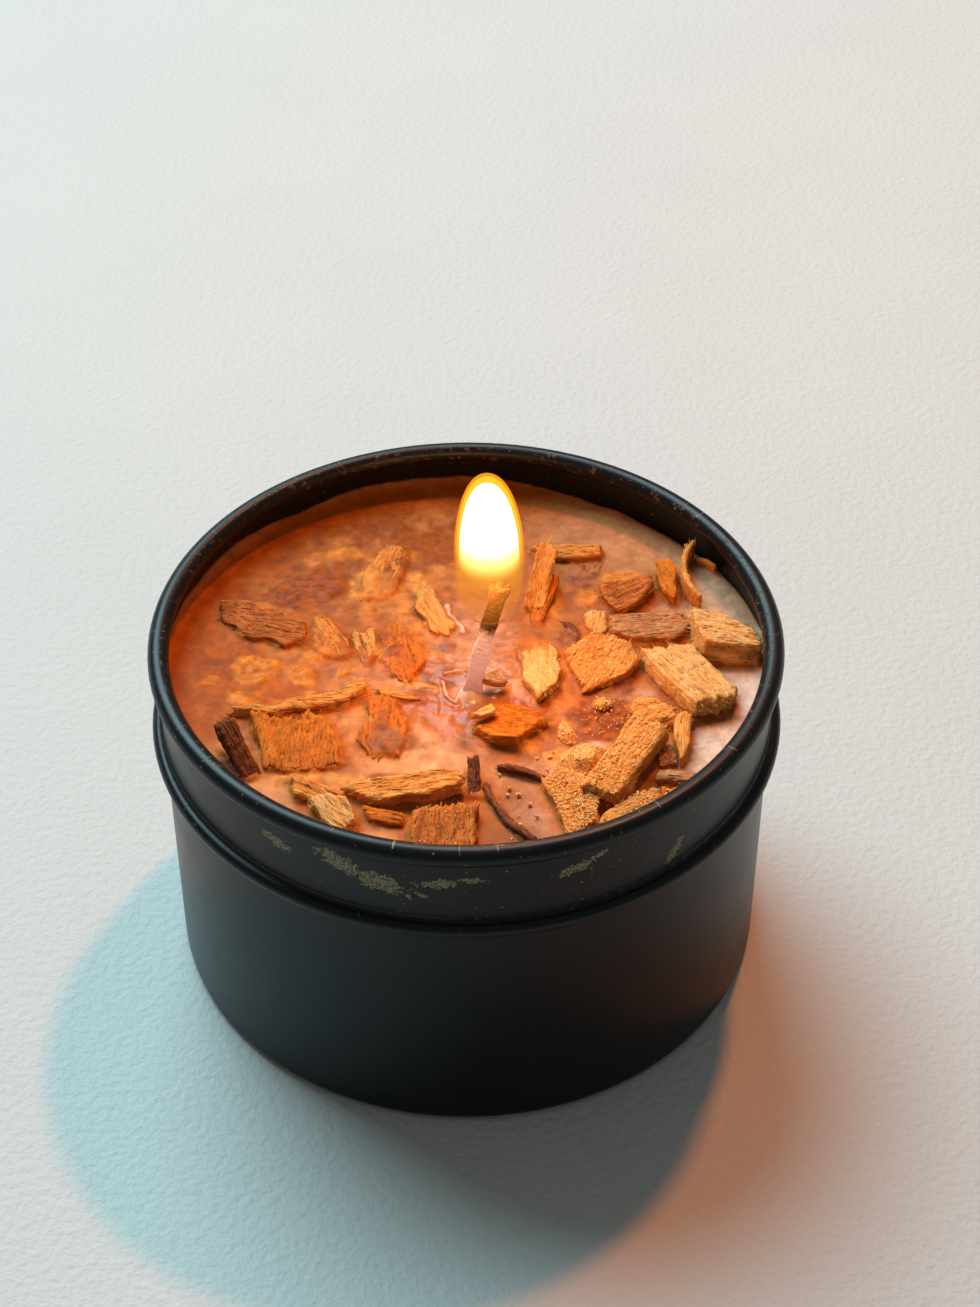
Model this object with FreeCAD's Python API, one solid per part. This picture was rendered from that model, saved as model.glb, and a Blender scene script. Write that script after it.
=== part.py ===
import FreeCAD, Part
import math
import os
import random
from collections import namedtuple

from FreeCAD import Vector

# A candle in a seamless drawn tin, 78 mm across, with wood chips set in the top of the wax.
# Millimetres, +Z up. The origin is the middle of the tin's foot, on the surface it stands on.
# -Y is the front.

# Tin: one drawn sheet with a curled rim, a stop bead for a slip lid and a raised base panel.
SHEET = 0.3
TIN_HEIGHT = 48.0
BODY_RADIUS = 38.0
CURL_RADIUS = 1.3
CURL_MIDDLE_RADIUS = 37.7
CURL_FREE_EDGE_DEG = -45.0
BEAD_CREST_RADIUS = 39.35
BEAD_HEIGHT = 35.4
BEAD_ROUND = 1.0
BEAD_BLEND = 0.6
CORNER_RADIUS = 1.5
FOOT_INNER_RADIUS = 34.6
PANEL_RADIUS = 33.4
PANEL_RISE = 0.6

# Wax and what is set in it.
WAX_LEVEL = 41.8
CHIP_REACH = 37.2  # no chip comes nearer to the wall than this radius

# Wick, its metal foot and the adhesive dot under the foot.
WICK_WIDTH = 2.2
WICK_THICKNESS = 0.9
WICK_CHAMFER = 0.25
WICK_ROUTE = [  # middle of the braid, from its foot to its burnt tip
    (0.0, -2.0, 1.8),
    (0.0, -2.1, 9.0),
    (0.1, -2.9, 20.0),
    (0.2, -4.1, 32.0),
    (0.5, -5.3, 41.0),
    (1.1, -5.3, 44.8),
    (1.8, -5.1, 48.5),
    (2.6, -5.0, 52.2),
    (3.4, -4.9, 55.4),
    (4.1, -4.8, 58.4),
]
STICKER_RADIUS = 9.0
STICKER_THICKNESS = 0.7
FOOT_DISC_RADIUS = 10.0
FOOT_DISC_THICKNESS = 0.3
FOOT_NECK_RADIUS = 1.9
FOOT_NECK_HEIGHT = 4.0

# Flame: a closed drop around the tip of the wick.
FLAME_MIDDLE = (2.8, -4.9)
FLAME_POLES = [  # radius and height of the poles of its smooth outline
    (0.0, 52.6),
    (2.8, 52.6),
    (4.4, 57.5),
    (4.5, 66.5),
    (3.1, 73.5),
    (1.3, 75.6),
    (0.0, 75.6),
]

# Wood chips. The lift is how far the top face stands above the wax over the chip's middle. A tilted chip
# rises on the side that faces the heading (degrees from +X towards +Y). The outline is seen from above.
# Where two chips meet, the earlier one in the list keeps its shape and the later one is fitted against it.
Chip = namedtuple("Chip", "name thickness lift tilt heading outline")

CHIPS = [
    # Right side, from the rim inwards.
    Chip("chip_rim_block", 3.4, 3.2, 4.0, 200.0, [
        (28.0, 7.0), (32.0, 5.9), (35.4, 3.6), (36.6, 1.0), (36.3, -0.4), (29.3, 0.5), (28.6, 2.6)
    ]),
    Chip("chip_square", 2.3, 2.4, 7.0, 250.0, [
        (21.8, 0.8), (24.2, 0.7), (27.4, 1.7), (32.7, -7.6), (32.0, -9.0), (27.4, -11.0), (22.4, -2.0)
    ]),
    Chip("chip_long_brown", 1.6, 1.2, 3.0, 90.0, [
        (17.8, 7.8), (22.0, 8.6), (27.6, 8.3), (27.8, 5.0), (25.5, 3.4), (21.0, 3.8), (18.2, 5.4)
    ]),
    Chip("chip_straw_back", 1.1, 0.8, 5.0, 90.0, [
        (14.9, 9.0), (16.3, 9.6), (17.6, 9.2), (17.6, 6.0), (16.6, 5.2), (15.2, 6.8)
    ]),
    Chip("chip_rust_back", 1.4, 1.5, 10.0, 40.0, [
        (17.3, 14.0), (19.5, 14.6), (22.6, 14.4), (23.9, 15.3), (24.3, 14.0), (22.5, 11.5), (20.5, 9.6),
        (19.0, 9.8), (17.6, 12.0)
    ]),
    Chip("chip_curved_back", 1.6, 1.6, 8.0, 0.0, [
        (24.9, 18.8), (26.7, 18.6), (27.1, 15.8), (27.1, 12.4), (26.7, 11.0), (25.6, 12.8), (24.7, 16.2)
    ]),
    Chip("chip_orange_back", 1.0, 1.3, 16.0, 60.0, [
        (8.3, 8.0), (9.0, 11.6), (10.8, 15.2), (12.2, 15.0), (11.0, 11.4), (9.8, 8.6), (9.0, 7.6)
    ]),
    Chip("chip_pale_back", 0.9, 0.8, 5.0, 90.0, [
        (8.6, 22.6), (13.0, 23.0), (17.6, 22.9), (17.9, 20.9), (13.4, 20.6), (9.2, 21.0)
    ]),
    Chip("chip_brown_back", 1.2, 0.3, 3.0, 90.0, [
        (13.5, 20.4), (17.5, 20.6), (17.0, 17.8), (15.8, 14.8), (13.6, 15.2), (12.8, 18.2)
    ]),
    Chip("chip_dark_sliver", 0.8, 0.4, 0.0, 0.0, [
        (12.1, 8.2), (13.6, 7.4), (14.5, 5.2), (14.1, 4.0), (13.2, 5.8)
    ]),
    Chip("chip_leaf_middle", 1.3, 0.9, 9.0, 290.0, [
        (6.3, 3.7), (8.4, 4.5), (10.4, 3.5), (12.2, -2.2), (11.0, -5.4), (8.8, -7.9), (7.3, -3.6)
    ]),
    Chip("chip_amber_right", 1.8, 1.3, 5.0, 30.0, [
        (12.6, 1.7), (15.9, 4.6), (18.2, 3.9), (20.5, 2.2), (21.3, -0.6), (19.6, -3.3), (17.0, -4.4),
        (14.7, -5.1), (13.1, -1.6)
    ]),
    Chip("chip_cream_right", 1.3, 1.3, 7.0, 300.0, [
        (19.8, -9.4), (20.9, -6.9), (23.0, -7.8), (25.6, -9.8), (25.0, -11.8), (22.6, -12.0),
        (20.7, -11.6)
    ]),
    Chip("chip_thin_right", 1.5, 1.7, 5.0, 0.0, [
        (25.3, -11.2), (26.1, -10.4), (27.1, -11.1), (26.7, -15.6), (25.6, -18.7), (25.0, -16.6)
    ]),
    Chip("chip_umber_right", 1.4, 0.4, 3.0, 90.0, [
        (13.4, -9.6), (15.2, -7.0), (17.8, -6.0), (19.6, -7.0), (20.4, -10.4), (19.4, -13.2),
        (17.0, -14.6), (14.4, -13.4)
    ]),
    Chip("chip_brown_right", 1.1, 0.6, 0.0, 0.0, [
        (22.9, -15.3), (24.5, -14.8), (24.8, -18.4), (22.8, -19.0)
    ]),
    # Front right.
    Chip("chip_fibrous_front", 1.6, 1.5, 6.0, 130.0, [
        (17.6, -25.9), (19.7, -24.2), (22.3, -23.5), (22.0, -25.8), (18.6, -28.4), (15.7, -30.4),
        (15.2, -28.8)
    ]),
    Chip("chip_wide_front", 1.6, 1.4, 6.0, 45.0, [
        (9.2, -21.4), (10.5, -19.8), (14.0, -21.0), (15.6, -25.0), (14.7, -28.6), (12.3, -31.2),
        (10.6, -26.4)
    ]),
    Chip("chip_orange_rim", 1.0, 0.7, 5.0, 140.0, [
        (22.7, -22.7), (24.0, -23.0), (26.6, -22.6), (25.8, -23.9), (23.6, -25.6), (22.8, -24.6)
    ]),
    # Front and front left.
    Chip("chip_ribbed_front", 1.9, 1.4, 7.0, 90.0, [
        (-6.4, -26.6), (-4.6, -26.2), (1.3, -25.8), (1.0, -28.8), (0.2, -33.6), (-6.6, -33.2),
        (-6.8, -29.4)
    ]),
    Chip("chip_long_front", 1.8, 1.9, 6.0, 10.0, [
        (-14.2, -22.4), (-9.6, -21.2), (-4.2, -20.9), (-0.6, -21.8), (-0.3, -23.2), (-2.5, -24.3),
        (-6.0, -24.8), (-10.0, -24.8), (-13.0, -24.0)
    ]),
    Chip("chip_olive_front", 1.1, 0.7, 6.0, 80.0, [
        (-12.3, -25.1), (-10.5, -25.7), (-7.4, -26.4), (-7.3, -27.9), (-9.0, -28.1), (-11.6, -26.9)
    ]),
    Chip("chip_cream_front", 2.0, 1.9, 8.0, 120.0, [
        (-18.4, -25.0), (-17.0, -24.5), (-14.4, -24.8), (-13.0, -27.3), (-13.5, -29.0), (-14.9, -29.8),
        (-16.9, -27.8)
    ]),
    Chip("chip_pale_front", 1.2, 0.9, 6.0, 150.0, [
        (-21.0, -20.4), (-18.8, -21.3), (-16.0, -22.6), (-15.2, -23.6), (-17.6, -24.1), (-20.4, -23.6)
    ]),
    # Left side.
    Chip("chip_ledge_left", 1.4, 1.3, 5.0, 100.0, [
        (-29.2, -8.6), (-22.5, -8.1), (-16.0, -6.2), (-12.7, -3.9), (-11.9, -5.1), (-15.4, -7.3),
        (-19.6, -8.8), (-25.8, -9.2)
    ]),
    Chip("chip_fan_left", 1.3, 0.9, 5.0, 90.0, [
        (-26.5, -9.4), (-24.6, -9.8), (-20.2, -10.8), (-19.2, -9.2), (-16.7, -10.8), (-15.3, -14.6),
        (-14.9, -18.2), (-19.8, -18.8), (-24.0, -18.6), (-24.9, -14.2)
    ]),
    Chip("chip_fuzzy_left", 1.2, 0.5, 3.0, 60.0, [
        (-11.5, -5.6), (-8.5, -6.9), (-7.5, -10.5), (-8.1, -16.0), (-11.2, -16.3), (-12.8, -13.4),
        (-11.7, -9.6), (-12.4, -6.9)
    ]),
    Chip("chip_strip_left", 0.8, 0.7, 4.0, 90.0, [
        (-11.2, -4.9), (-8.0, -5.6), (-5.4, -6.6), (-7.8, -6.8), (-10.6, -5.8)
    ]),
    Chip("chip_dark_foot", 1.0, 0.6, 6.0, 180.0, [
        (-29.3, -17.3), (-27.8, -16.9), (-26.8, -18.2), (-26.5, -20.2), (-27.6, -20.2), (-28.6, -19.2)
    ]),
    Chip("chip_dark_end", 1.3, 0.8, 6.0, 70.0, [
        (-31.0, 12.0), (-29.8, 12.2), (-24.5, 10.2), (-20.1, 7.8), (-19.9, 4.8), (-22.5, 3.6),
        (-27.5, 5.6), (-30.6, 8.8)
    ]),
    Chip("chip_fuzzy_back", 1.1, 0.4, 3.0, 90.0, [
        (-13.6, 14.7), (-12.2, 20.0), (-10.4, 23.0), (-7.8, 22.8), (-8.2, 18.0), (-9.6, 14.0),
        (-11.2, 12.4), (-13.0, 13.0)
    ]),
    Chip("chip_amber_back", 1.1, 0.3, 3.0, 60.0, [
        (-26.8, 12.6), (-24.0, 16.9), (-19.0, 18.2), (-15.2, 17.1), (-15.0, 13.8), (-18.2, 12.2),
        (-22.5, 11.2)
    ]),
    Chip("chip_pale_left", 1.1, 0.5, 4.0, 80.0, [
        (-19.4, 9.2), (-17.2, 8.8), (-15.0, 4.6), (-13.8, 2.2), (-16.4, 1.4), (-19.0, 3.0)
    ]),
    Chip("chip_orange_middle", 1.2, 0.5, 4.0, 0.0, [
        (-10.4, 7.2), (-8.2, 7.6), (-6.0, 4.6), (-5.6, 0.2), (-7.0, -3.2), (-9.4, -2.2), (-10.3, 2.0)
    ]),
    Chip("chip_straw_middle", 1.0, 0.4, 3.0, 90.0, [
        (-14.0, 6.2), (-11.5, 6.8), (-11.0, 2.0), (-12.6, 0.2), (-13.5, 2.4)
    ]),
    Chip("chip_leaf_wick", 1.0, 0.8, 6.0, 120.0, [
        (-6.6, 13.4), (-4.8, 14.0), (-3.2, 10.6), (-1.6, 7.4), (-2.4, 5.4), (-4.6, 6.4), (-6.2, 10.3)
    ]),
    Chip("chip_sunk_left", 1.0, 0.3, 3.0, 60.0, [
        (-29.4, 1.2), (-26.0, 2.4), (-23.4, 0.6), (-24.6, -3.1), (-28.4, -3.3)
    ]),
    Chip("chip_sunk_middle", 1.0, 0.3, 3.0, 120.0, [
        (-22.6, 0.5), (-19.2, 0.3), (-18.6, -3.6), (-21.8, -4.4)
    ]),
    Chip("chip_sunk_rim", 1.0, 0.4, 4.0, 90.0, [
        (-29.6, -5.2), (-26.8, -4.1), (-24.8, -5.6), (-25.8, -7.0), (-28.4, -7.2)
    ]),
    # Against the wick.
    Chip("chip_glow_wick", 1.4, 1.2, 8.0, 290.0, [
        (0.9, -12.2), (1.6, -10.8), (3.6, -8.5), (6.2, -8.9), (9.9, -11.2), (7.0, -13.5), (5.8, -15.8),
        (3.4, -14.4)
    ]),
    Chip("chip_bright_wick", 0.7, 2.2, 8.0, 290.0, [
        (0.5, -11.2), (1.6, -10.3), (3.1, -9.4), (3.5, -10.6), (1.9, -11.6)
    ]),
    Chip("chip_dark_wick", 0.8, 2.6, 16.0, 180.0, [
        (0.9, -5.9), (1.8, -4.8), (3.4, -4.2), (5.2, -4.7), (4.3, -5.7), (2.4, -6.0)
    ]),
]

# Sticks stand or lean out of the wax, from the middle of the foot to the middle of the head.
Stick = namedtuple("Stick", "name foot head width thickness")

STICKS = [
    Stick("stick_powdered", (15.4, -25.0, WAX_LEVEL + 1.7), (22.0, -13.9, WAX_LEVEL + 2.4), 4.2, 2.2),
    Stick("stick_dark_left", (-25.4, -19.7, WAX_LEVEL - 0.8), (-29.0, -14.4, WAX_LEVEL + 4.2), 2.1, 1.5),
    Stick("stick_upright_back", (8.5, 10.2, WAX_LEVEL + 0.4), (10.9, 17.2, WAX_LEVEL + 5.3), 2.3, 0.8),
    Stick("stick_rim_right", (22.4, -21.0, WAX_LEVEL + 0.6), (27.0, -21.7, WAX_LEVEL + 0.9), 1.5, 1.2),
    Stick("sliver_front", (1.0, -24.0, WAX_LEVEL - 0.6), (0.6, -18.4, WAX_LEVEL + 2.0), 1.3, 0.8),
]

# Shavings are thin curled ribbons on edge, each an arc about a centre, from one heading to another.
Shaving = namedtuple("Shaving", "name centre radius start end thickness sunk stands")

SHAVINGS = [
    Shaving("shaving_arc_right", (37.5, 15.8), 9.5, 146.0, 215.0, 0.5, 0.8, 2.6),
    Shaving("shaving_curl_right", (29.2, 16.6), 3.2, 20.0, 75.0, 0.5, 0.5, 1.2),
    Shaving("shaving_front_left", (19.6, -17.6), 18.0, 193.0, 229.0, 0.6, 0.8, 0.9),
    Shaving("shaving_front_right", (1.0, -33.0), 14.5, 56.0, 80.0, 0.6, 0.8, 0.9),
]

# Sawdust: heaps that lie on the wax and on the chips, and loose crumbs scattered between them.
HEAP_SHRINK = 0.45  # how much of a heap's outline is left at its top
HEAPS = {  # each heap is its height and its outline on the wax
    "sawdust_heap": [
        (1.9, [(10.4, -18.6), (11.6, -16.3), (14.0, -15.0), (17.0, -15.7), (16.6, -18.6), (14.6, -20.8),
               (12.0, -20.6)]),
    ],
    "sawdust_clumps": [
        (1.0, [(14.9, -8.4), (15.8, -6.8), (17.8, -6.9), (18.2, -8.4), (16.4, -9.3)]),
        (0.9, [(10.9, -11.9), (11.7, -10.5), (12.7, -11.9), (13.2, -14.0), (12.3, -14.8), (11.1, -13.6)]),
    ],
}
CRUMB_SEED = 11
CRUMB_COUNT = 26
CRUMB_FIELD = (2.5, 20.0, -31.0, -13.0)  # lowest and highest X, then lowest and highest Y
CRUMB_REACH = 34.0
CRUMB_SIZES = (0.35, 0.75)
CRUMB_THICKNESS = 0.5  # as a share of its size
CRUMB_RAGGED = (0.6, 1.2)  # how far each corner reaches, as a share of half its size
CRUMB_CORNERS = 4
CRUMB_GAP = 0.15


def turned(edges):
    """A solid of revolution about Z from the edges of a closed profile in the XZ plane."""
    profile = Part.Face(Part.Wire(edges))
    return profile.revolve(Vector(0, 0, 0), Vector(0, 0, 1), 360)


def line(start, end):
    """A straight profile edge between two (radius, height) points."""
    return Part.LineSegment(Vector(start[0], 0, start[1]), Vector(end[0], 0, end[1])).toShape()


def arc(middle, radius, start_deg, end_deg):
    """A profile arc about a (radius, height) middle, from one angle to the other through their mean."""
    points = []
    for degrees in (start_deg, (start_deg + end_deg) / 2, end_deg):
        angle = math.radians(degrees)
        points.append(Vector(middle[0] + radius * math.cos(angle), 0, middle[1] + radius * math.sin(angle)))
    return Part.Arc(*points).toShape()


def bead_edges(inset):
    """The stop bead from below upwards, as three tangent arcs. Inset by the sheet, it is the inner face."""
    crest_middle = BEAD_CREST_RADIUS - BEAD_ROUND
    blend_middle = BODY_RADIUS + BEAD_BLEND
    drop = math.sqrt((BEAD_ROUND + BEAD_BLEND) ** 2 - (blend_middle - crest_middle) ** 2)
    slope = math.degrees(math.atan2(drop, blend_middle - crest_middle))
    blend = BEAD_BLEND + inset
    crest = BEAD_ROUND - inset
    edges = [
        arc((blend_middle, BEAD_HEIGHT - drop), blend, 180.0, 180.0 - slope),
        arc((crest_middle, BEAD_HEIGHT), crest, -slope, slope),
        arc((blend_middle, BEAD_HEIGHT + drop), blend, 180.0 + slope, 180.0),
    ]
    return edges, BEAD_HEIGHT - drop, BEAD_HEIGHT + drop


def base_points(rise):
    """The base from the axis to the start of its corner: raised panel, step and foot ring."""
    return [
        (0.0, PANEL_RISE + rise),
        (PANEL_RADIUS, PANEL_RISE + rise),
        (FOOT_INNER_RADIUS, rise),
        (BODY_RADIUS - CORNER_RADIUS, rise),
    ]


def chain(points):
    """Straight profile edges through the points."""
    return [line(start, end) for start, end in zip(points, points[1:])]


def make_tin_body():
    """The drawn shell. Its profile goes up the outside, round the curl and back down the inside."""
    inner_radius = BODY_RADIUS - SHEET
    curl = (CURL_MIDDLE_RADIUS, TIN_HEIGHT - CURL_RADIUS)
    curl_inside = CURL_RADIUS - SHEET
    corner = (BODY_RADIUS - CORNER_RADIUS, CORNER_RADIUS)
    outer_bead, bead_low, bead_high = bead_edges(0.0)
    inner_bead, _, _ = bead_edges(SHEET)
    wall_angle = -math.degrees(math.acos((BODY_RADIUS - curl[0]) / curl_inside))
    wall_top = curl[1] + curl_inside * math.sin(math.radians(wall_angle))
    free_edge = math.radians(CURL_FREE_EDGE_DEG)
    free_points = [(curl[0] + r * math.cos(free_edge), curl[1] + r * math.sin(free_edge))
                   for r in (curl_inside, CURL_RADIUS)]

    edges = chain(base_points(0.0))
    edges.append(arc(corner, CORNER_RADIUS, -90.0, 0.0))
    edges.append(line((BODY_RADIUS, CORNER_RADIUS), (BODY_RADIUS, bead_low)))
    edges += outer_bead
    edges.append(line((BODY_RADIUS, bead_high), (BODY_RADIUS, wall_top)))
    edges.append(arc(curl, curl_inside, 360.0 + wall_angle, 180.0))
    edges.append(arc(curl, curl_inside, 180.0, CURL_FREE_EDGE_DEG))
    edges.append(line(*free_points))
    edges.append(arc(curl, CURL_RADIUS, CURL_FREE_EDGE_DEG, 180.0))
    edges.append(arc(curl, CURL_RADIUS, 180.0, 270.0))
    edges.append(line((inner_radius, curl[1] - CURL_RADIUS), (inner_radius, bead_high)))
    edges += inner_bead
    edges.append(line((inner_radius, bead_low), (inner_radius, CORNER_RADIUS)))
    edges.append(arc(corner, CORNER_RADIUS - SHEET, 0.0, -90.0))
    edges += chain(base_points(SHEET)[::-1])
    edges.append(line((0.0, PANEL_RISE + SHEET), (0.0, PANEL_RISE)))
    return turned(Part.__sortEdges__(edges))


def make_wax_block():
    """The poured wax before anything is set in it. It follows the base and the wall but not the bead."""
    inner_radius = BODY_RADIUS - SHEET
    edges = chain(base_points(SHEET))
    edges.append(arc((BODY_RADIUS - CORNER_RADIUS, CORNER_RADIUS), CORNER_RADIUS - SHEET, -90.0, 0.0))
    edges += chain([
        (inner_radius, CORNER_RADIUS),
        (inner_radius, WAX_LEVEL),
        (0.0, WAX_LEVEL),
        (0.0, PANEL_RISE + SHEET),
    ])
    return turned(Part.__sortEdges__(edges))


def make_wick():
    """The flat braid as a ruled loft of chamfered rectangles along its route."""
    half_width = WICK_WIDTH / 2
    half_thickness = WICK_THICKNESS / 2
    cut = WICK_CHAMFER
    corners = [
        (half_width, half_thickness - cut), (half_width - cut, half_thickness),
        (cut - half_width, half_thickness), (-half_width, half_thickness - cut),
        (-half_width, cut - half_thickness), (cut - half_width, -half_thickness),
        (half_width - cut, -half_thickness), (half_width, cut - half_thickness),
    ]
    sections = []
    for x, y, z in WICK_ROUTE:
        points = [Vector(x + across, y + through, z) for across, through in corners]
        sections.append(Part.makePolygon(points + points[:1]))
    return Part.makeLoft(sections, True, True)


def foot_level():
    """The top of the adhesive dot, where the wick's metal foot sits."""
    return PANEL_RISE + SHEET + STICKER_THICKNESS


def make_wick_sticker():
    """The adhesive dot between the base panel and the wick's foot."""
    x, y, _ = WICK_ROUTE[0]
    return Part.makeCylinder(STICKER_RADIUS, STICKER_THICKNESS, Vector(x, y, PANEL_RISE + SHEET))


def make_wick_foot():
    """The metal disc with a neck that is crimped round the braid."""
    x, y, _ = WICK_ROUTE[0]
    disc = Part.makeCylinder(FOOT_DISC_RADIUS, FOOT_DISC_THICKNESS, Vector(x, y, foot_level()))
    neck = Part.makeCylinder(FOOT_NECK_RADIUS, FOOT_NECK_HEIGHT, Vector(x, y, foot_level()))
    return disc.fuse(neck).removeSplitter()


def make_flame():
    """The flame as a turned drop, from the (radius, height) poles of its smooth outline."""
    curve = Part.BSplineCurve()
    curve.buildFromPoles([Vector(radius, 0, height) for radius, height in FLAME_POLES])
    drop = turned([curve.toShape(), line(FLAME_POLES[-1], FLAME_POLES[0])])
    drop.translate(Vector(FLAME_MIDDLE[0], FLAME_MIDDLE[1], 0))
    return drop


def slab(outline, thickness, top, tilt=0.0, heading=0.0):
    """A flat slab under its outline, with its top face at the given height over its middle, then tilted."""
    points = [Vector(x, y, top - thickness) for x, y in outline]
    face = Part.Face(Part.makePolygon(points + points[:1]))
    solid = face.extrude(Vector(0, 0, thickness))
    angle = math.radians(heading)
    solid.rotate(face.CenterOfMass, Vector(math.sin(angle), -math.cos(angle), 0), tilt)
    return solid


def make_stick(stick):
    """A straight bar of rectangular section between two points."""
    foot, head = Vector(*stick.foot), Vector(*stick.head)
    along = head - foot
    side = along.cross(Vector(0, 0, 1)).normalize() * (stick.width / 2)
    face_up = side.cross(along).normalize() * (stick.thickness / 2)
    corners = [foot + side + face_up, foot - side + face_up, foot - side - face_up, foot + side - face_up]
    return Part.Face(Part.makePolygon(corners + corners[:1])).extrude(along)


def make_shaving(shaving):
    """A ribbon on edge, cut from a ring."""
    middle = Vector(shaving.centre[0], shaving.centre[1], WAX_LEVEL - shaving.sunk)
    height = shaving.sunk + shaving.stands
    sweep = shaving.end - shaving.start
    up = Vector(0, 0, 1)
    outer = Part.makeCylinder(shaving.radius + shaving.thickness / 2, height, middle, up, sweep)
    inner = Part.makeCylinder(shaving.radius - shaving.thickness / 2, height, middle, up, sweep)
    ribbon = outer.cut(inner)
    ribbon.rotate(middle, up, shaving.start)
    return ribbon


def make_heap(height, outline):
    """A low heap that narrows from its outline on the wax to its top."""
    middle_x = sum(x for x, _ in outline) / len(outline)
    middle_y = sum(y for _, y in outline) / len(outline)
    rings = []
    for share, level in ((1.0, WAX_LEVEL), (HEAP_SHRINK, WAX_LEVEL + height)):
        points = [Vector(middle_x + share * (x - middle_x), middle_y + share * (y - middle_y), level)
                  for x, y in outline]
        rings.append(Part.makePolygon(points + points[:1]))
    return Part.makeLoft(rings, True, True)


def largest(shape):
    """The largest solid of a cut shape, so that no loose sliver is left beside it."""
    return max(shape.Solids, key=lambda solid: solid.Volume)


def fitted(solid, neighbours):
    """The solid with its neighbours' room taken out of it."""
    for neighbour in neighbours:
        if solid.BoundBox.intersect(neighbour.BoundBox):
            solid = largest(solid.cut(neighbour))
    return solid


def make_wood(wick):
    """Every chip, stick and shaving by name, each kept inside the wall and clear of the ones before it."""
    room = Part.makeCylinder(CHIP_REACH, TIN_HEIGHT)
    raw = {stick.name: make_stick(stick) for stick in STICKS}
    raw.update({shaving.name: make_shaving(shaving) for shaving in SHAVINGS})
    for chip in CHIPS:
        raw[chip.name] = slab(chip.outline, chip.thickness, WAX_LEVEL + chip.lift, chip.tilt, chip.heading)
    wood = {}
    for name, solid in raw.items():
        wood[name] = fitted(largest(solid.common(room)), [wick, *wood.values()])
    return wood


def make_crumbs(neighbours):
    """Loose crumbs on the bare wax, each a thin irregular slab, as one group of separate solids."""
    draw = random.Random(CRUMB_SEED)
    crumbs = []
    low_x, high_x, low_y, high_y = CRUMB_FIELD
    while len(crumbs) < CRUMB_COUNT:
        x, y = draw.uniform(low_x, high_x), draw.uniform(low_y, high_y)
        size = draw.uniform(*CRUMB_SIZES)
        turn = draw.uniform(0.0, math.tau)
        outline = []
        for corner in range(CRUMB_CORNERS):
            angle = turn + corner * math.tau / CRUMB_CORNERS
            reach = size / 2 * draw.uniform(*CRUMB_RAGGED)
            outline.append((x + reach * math.cos(angle), y + reach * math.sin(angle)))
        thickness = size * CRUMB_THICKNESS
        crumb = slab(outline, thickness, WAX_LEVEL + thickness)
        around = crumb.BoundBox
        around.enlarge(CRUMB_GAP)
        near = [other for other in neighbours + crumbs
                if around.intersect(other.BoundBox) and crumb.distToShape(other)[0] < CRUMB_GAP]
        if math.hypot(x, y) < CRUMB_REACH and not near:
            crumbs.append(crumb)
    return Part.makeCompound(crumbs)


def make_parts():
    """Every node by name."""
    wick = make_wick()
    sticker = make_wick_sticker()
    foot = make_wick_foot().cut(wick)
    wood = make_wood(wick)
    heaps = {
        name: Part.makeCompound([fitted(make_heap(*heap), wood.values()) for heap in group])
        for name, group in HEAPS.items()
    }
    crumbs = make_crumbs([*wood.values(), *heaps.values()])
    wax = fitted(make_wax_block(), [sticker, foot, wick, *wood.values()])
    return {
        "tin_body": make_tin_body(),
        "wax_fill": wax,
        "wick": wick,
        "wick_foot": foot,
        "wick_sticker": sticker,
        "flame": largest(make_flame().cut(wick)),
        **wood,
        **heaps,
        "sawdust_crumbs": crumbs,
    }


def main():
    os.makedirs("parts", exist_ok=True)
    for name, shape in make_parts().items():
        shape.exportStep(f"parts/{name}.step")
        print(f"{name}: {len(shape.Solids)} solid, {shape.Volume:.1f} mm3, valid {shape.isValid()}")


main()
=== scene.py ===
import math

import bmesh
import bpy
import numpy as np
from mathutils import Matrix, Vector


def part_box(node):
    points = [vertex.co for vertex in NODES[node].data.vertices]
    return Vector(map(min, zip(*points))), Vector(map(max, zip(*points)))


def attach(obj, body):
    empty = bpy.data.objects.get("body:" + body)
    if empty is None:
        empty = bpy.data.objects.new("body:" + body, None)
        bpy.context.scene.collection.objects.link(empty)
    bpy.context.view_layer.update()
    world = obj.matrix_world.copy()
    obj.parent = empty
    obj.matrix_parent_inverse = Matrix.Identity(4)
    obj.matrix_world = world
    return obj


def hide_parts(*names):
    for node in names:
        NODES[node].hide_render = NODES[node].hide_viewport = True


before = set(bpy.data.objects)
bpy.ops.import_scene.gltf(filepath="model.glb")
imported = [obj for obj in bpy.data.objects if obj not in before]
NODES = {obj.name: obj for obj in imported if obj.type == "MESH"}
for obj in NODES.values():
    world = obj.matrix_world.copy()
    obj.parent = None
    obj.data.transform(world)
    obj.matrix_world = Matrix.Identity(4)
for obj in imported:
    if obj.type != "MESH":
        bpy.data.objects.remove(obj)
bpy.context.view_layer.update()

# The looks of the candle tin: detailed wax, wood, sawdust, wick and flame in place of the plain CAD solids,
# and procedural materials. Sizes in millimetres are turned into metres by MM where a mesh is made.
MM = 0.001
PER_MM = 1000.0  # object coordinates are in metres, so this scale makes one noise unit a millimetre
ROOT = "root"

WAX_LEVEL = 41.8  # mm, the nominal level of the hard wax
WALL_RADIUS = 37.66  # mm, just inside the tin's inner wall


# ---- numbers and noise

def node_mm(node):
    """A CAD node's vertices in millimetres."""
    mesh = NODES[node].data
    points = np.empty(len(mesh.vertices) * 3)
    mesh.vertices.foreach_get("co", points)
    return points.reshape(-1, 3) / MM


def node_triangles(node):
    """A CAD node's triangles as corner points in millimetres."""
    mesh = NODES[node].data
    mesh.calc_loop_triangles()
    corners = np.empty(len(mesh.loop_triangles) * 3, dtype=np.int64)
    mesh.loop_triangles.foreach_get("vertices", corners)
    return node_mm(node)[corners].reshape(-1, 3, 3)


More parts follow.
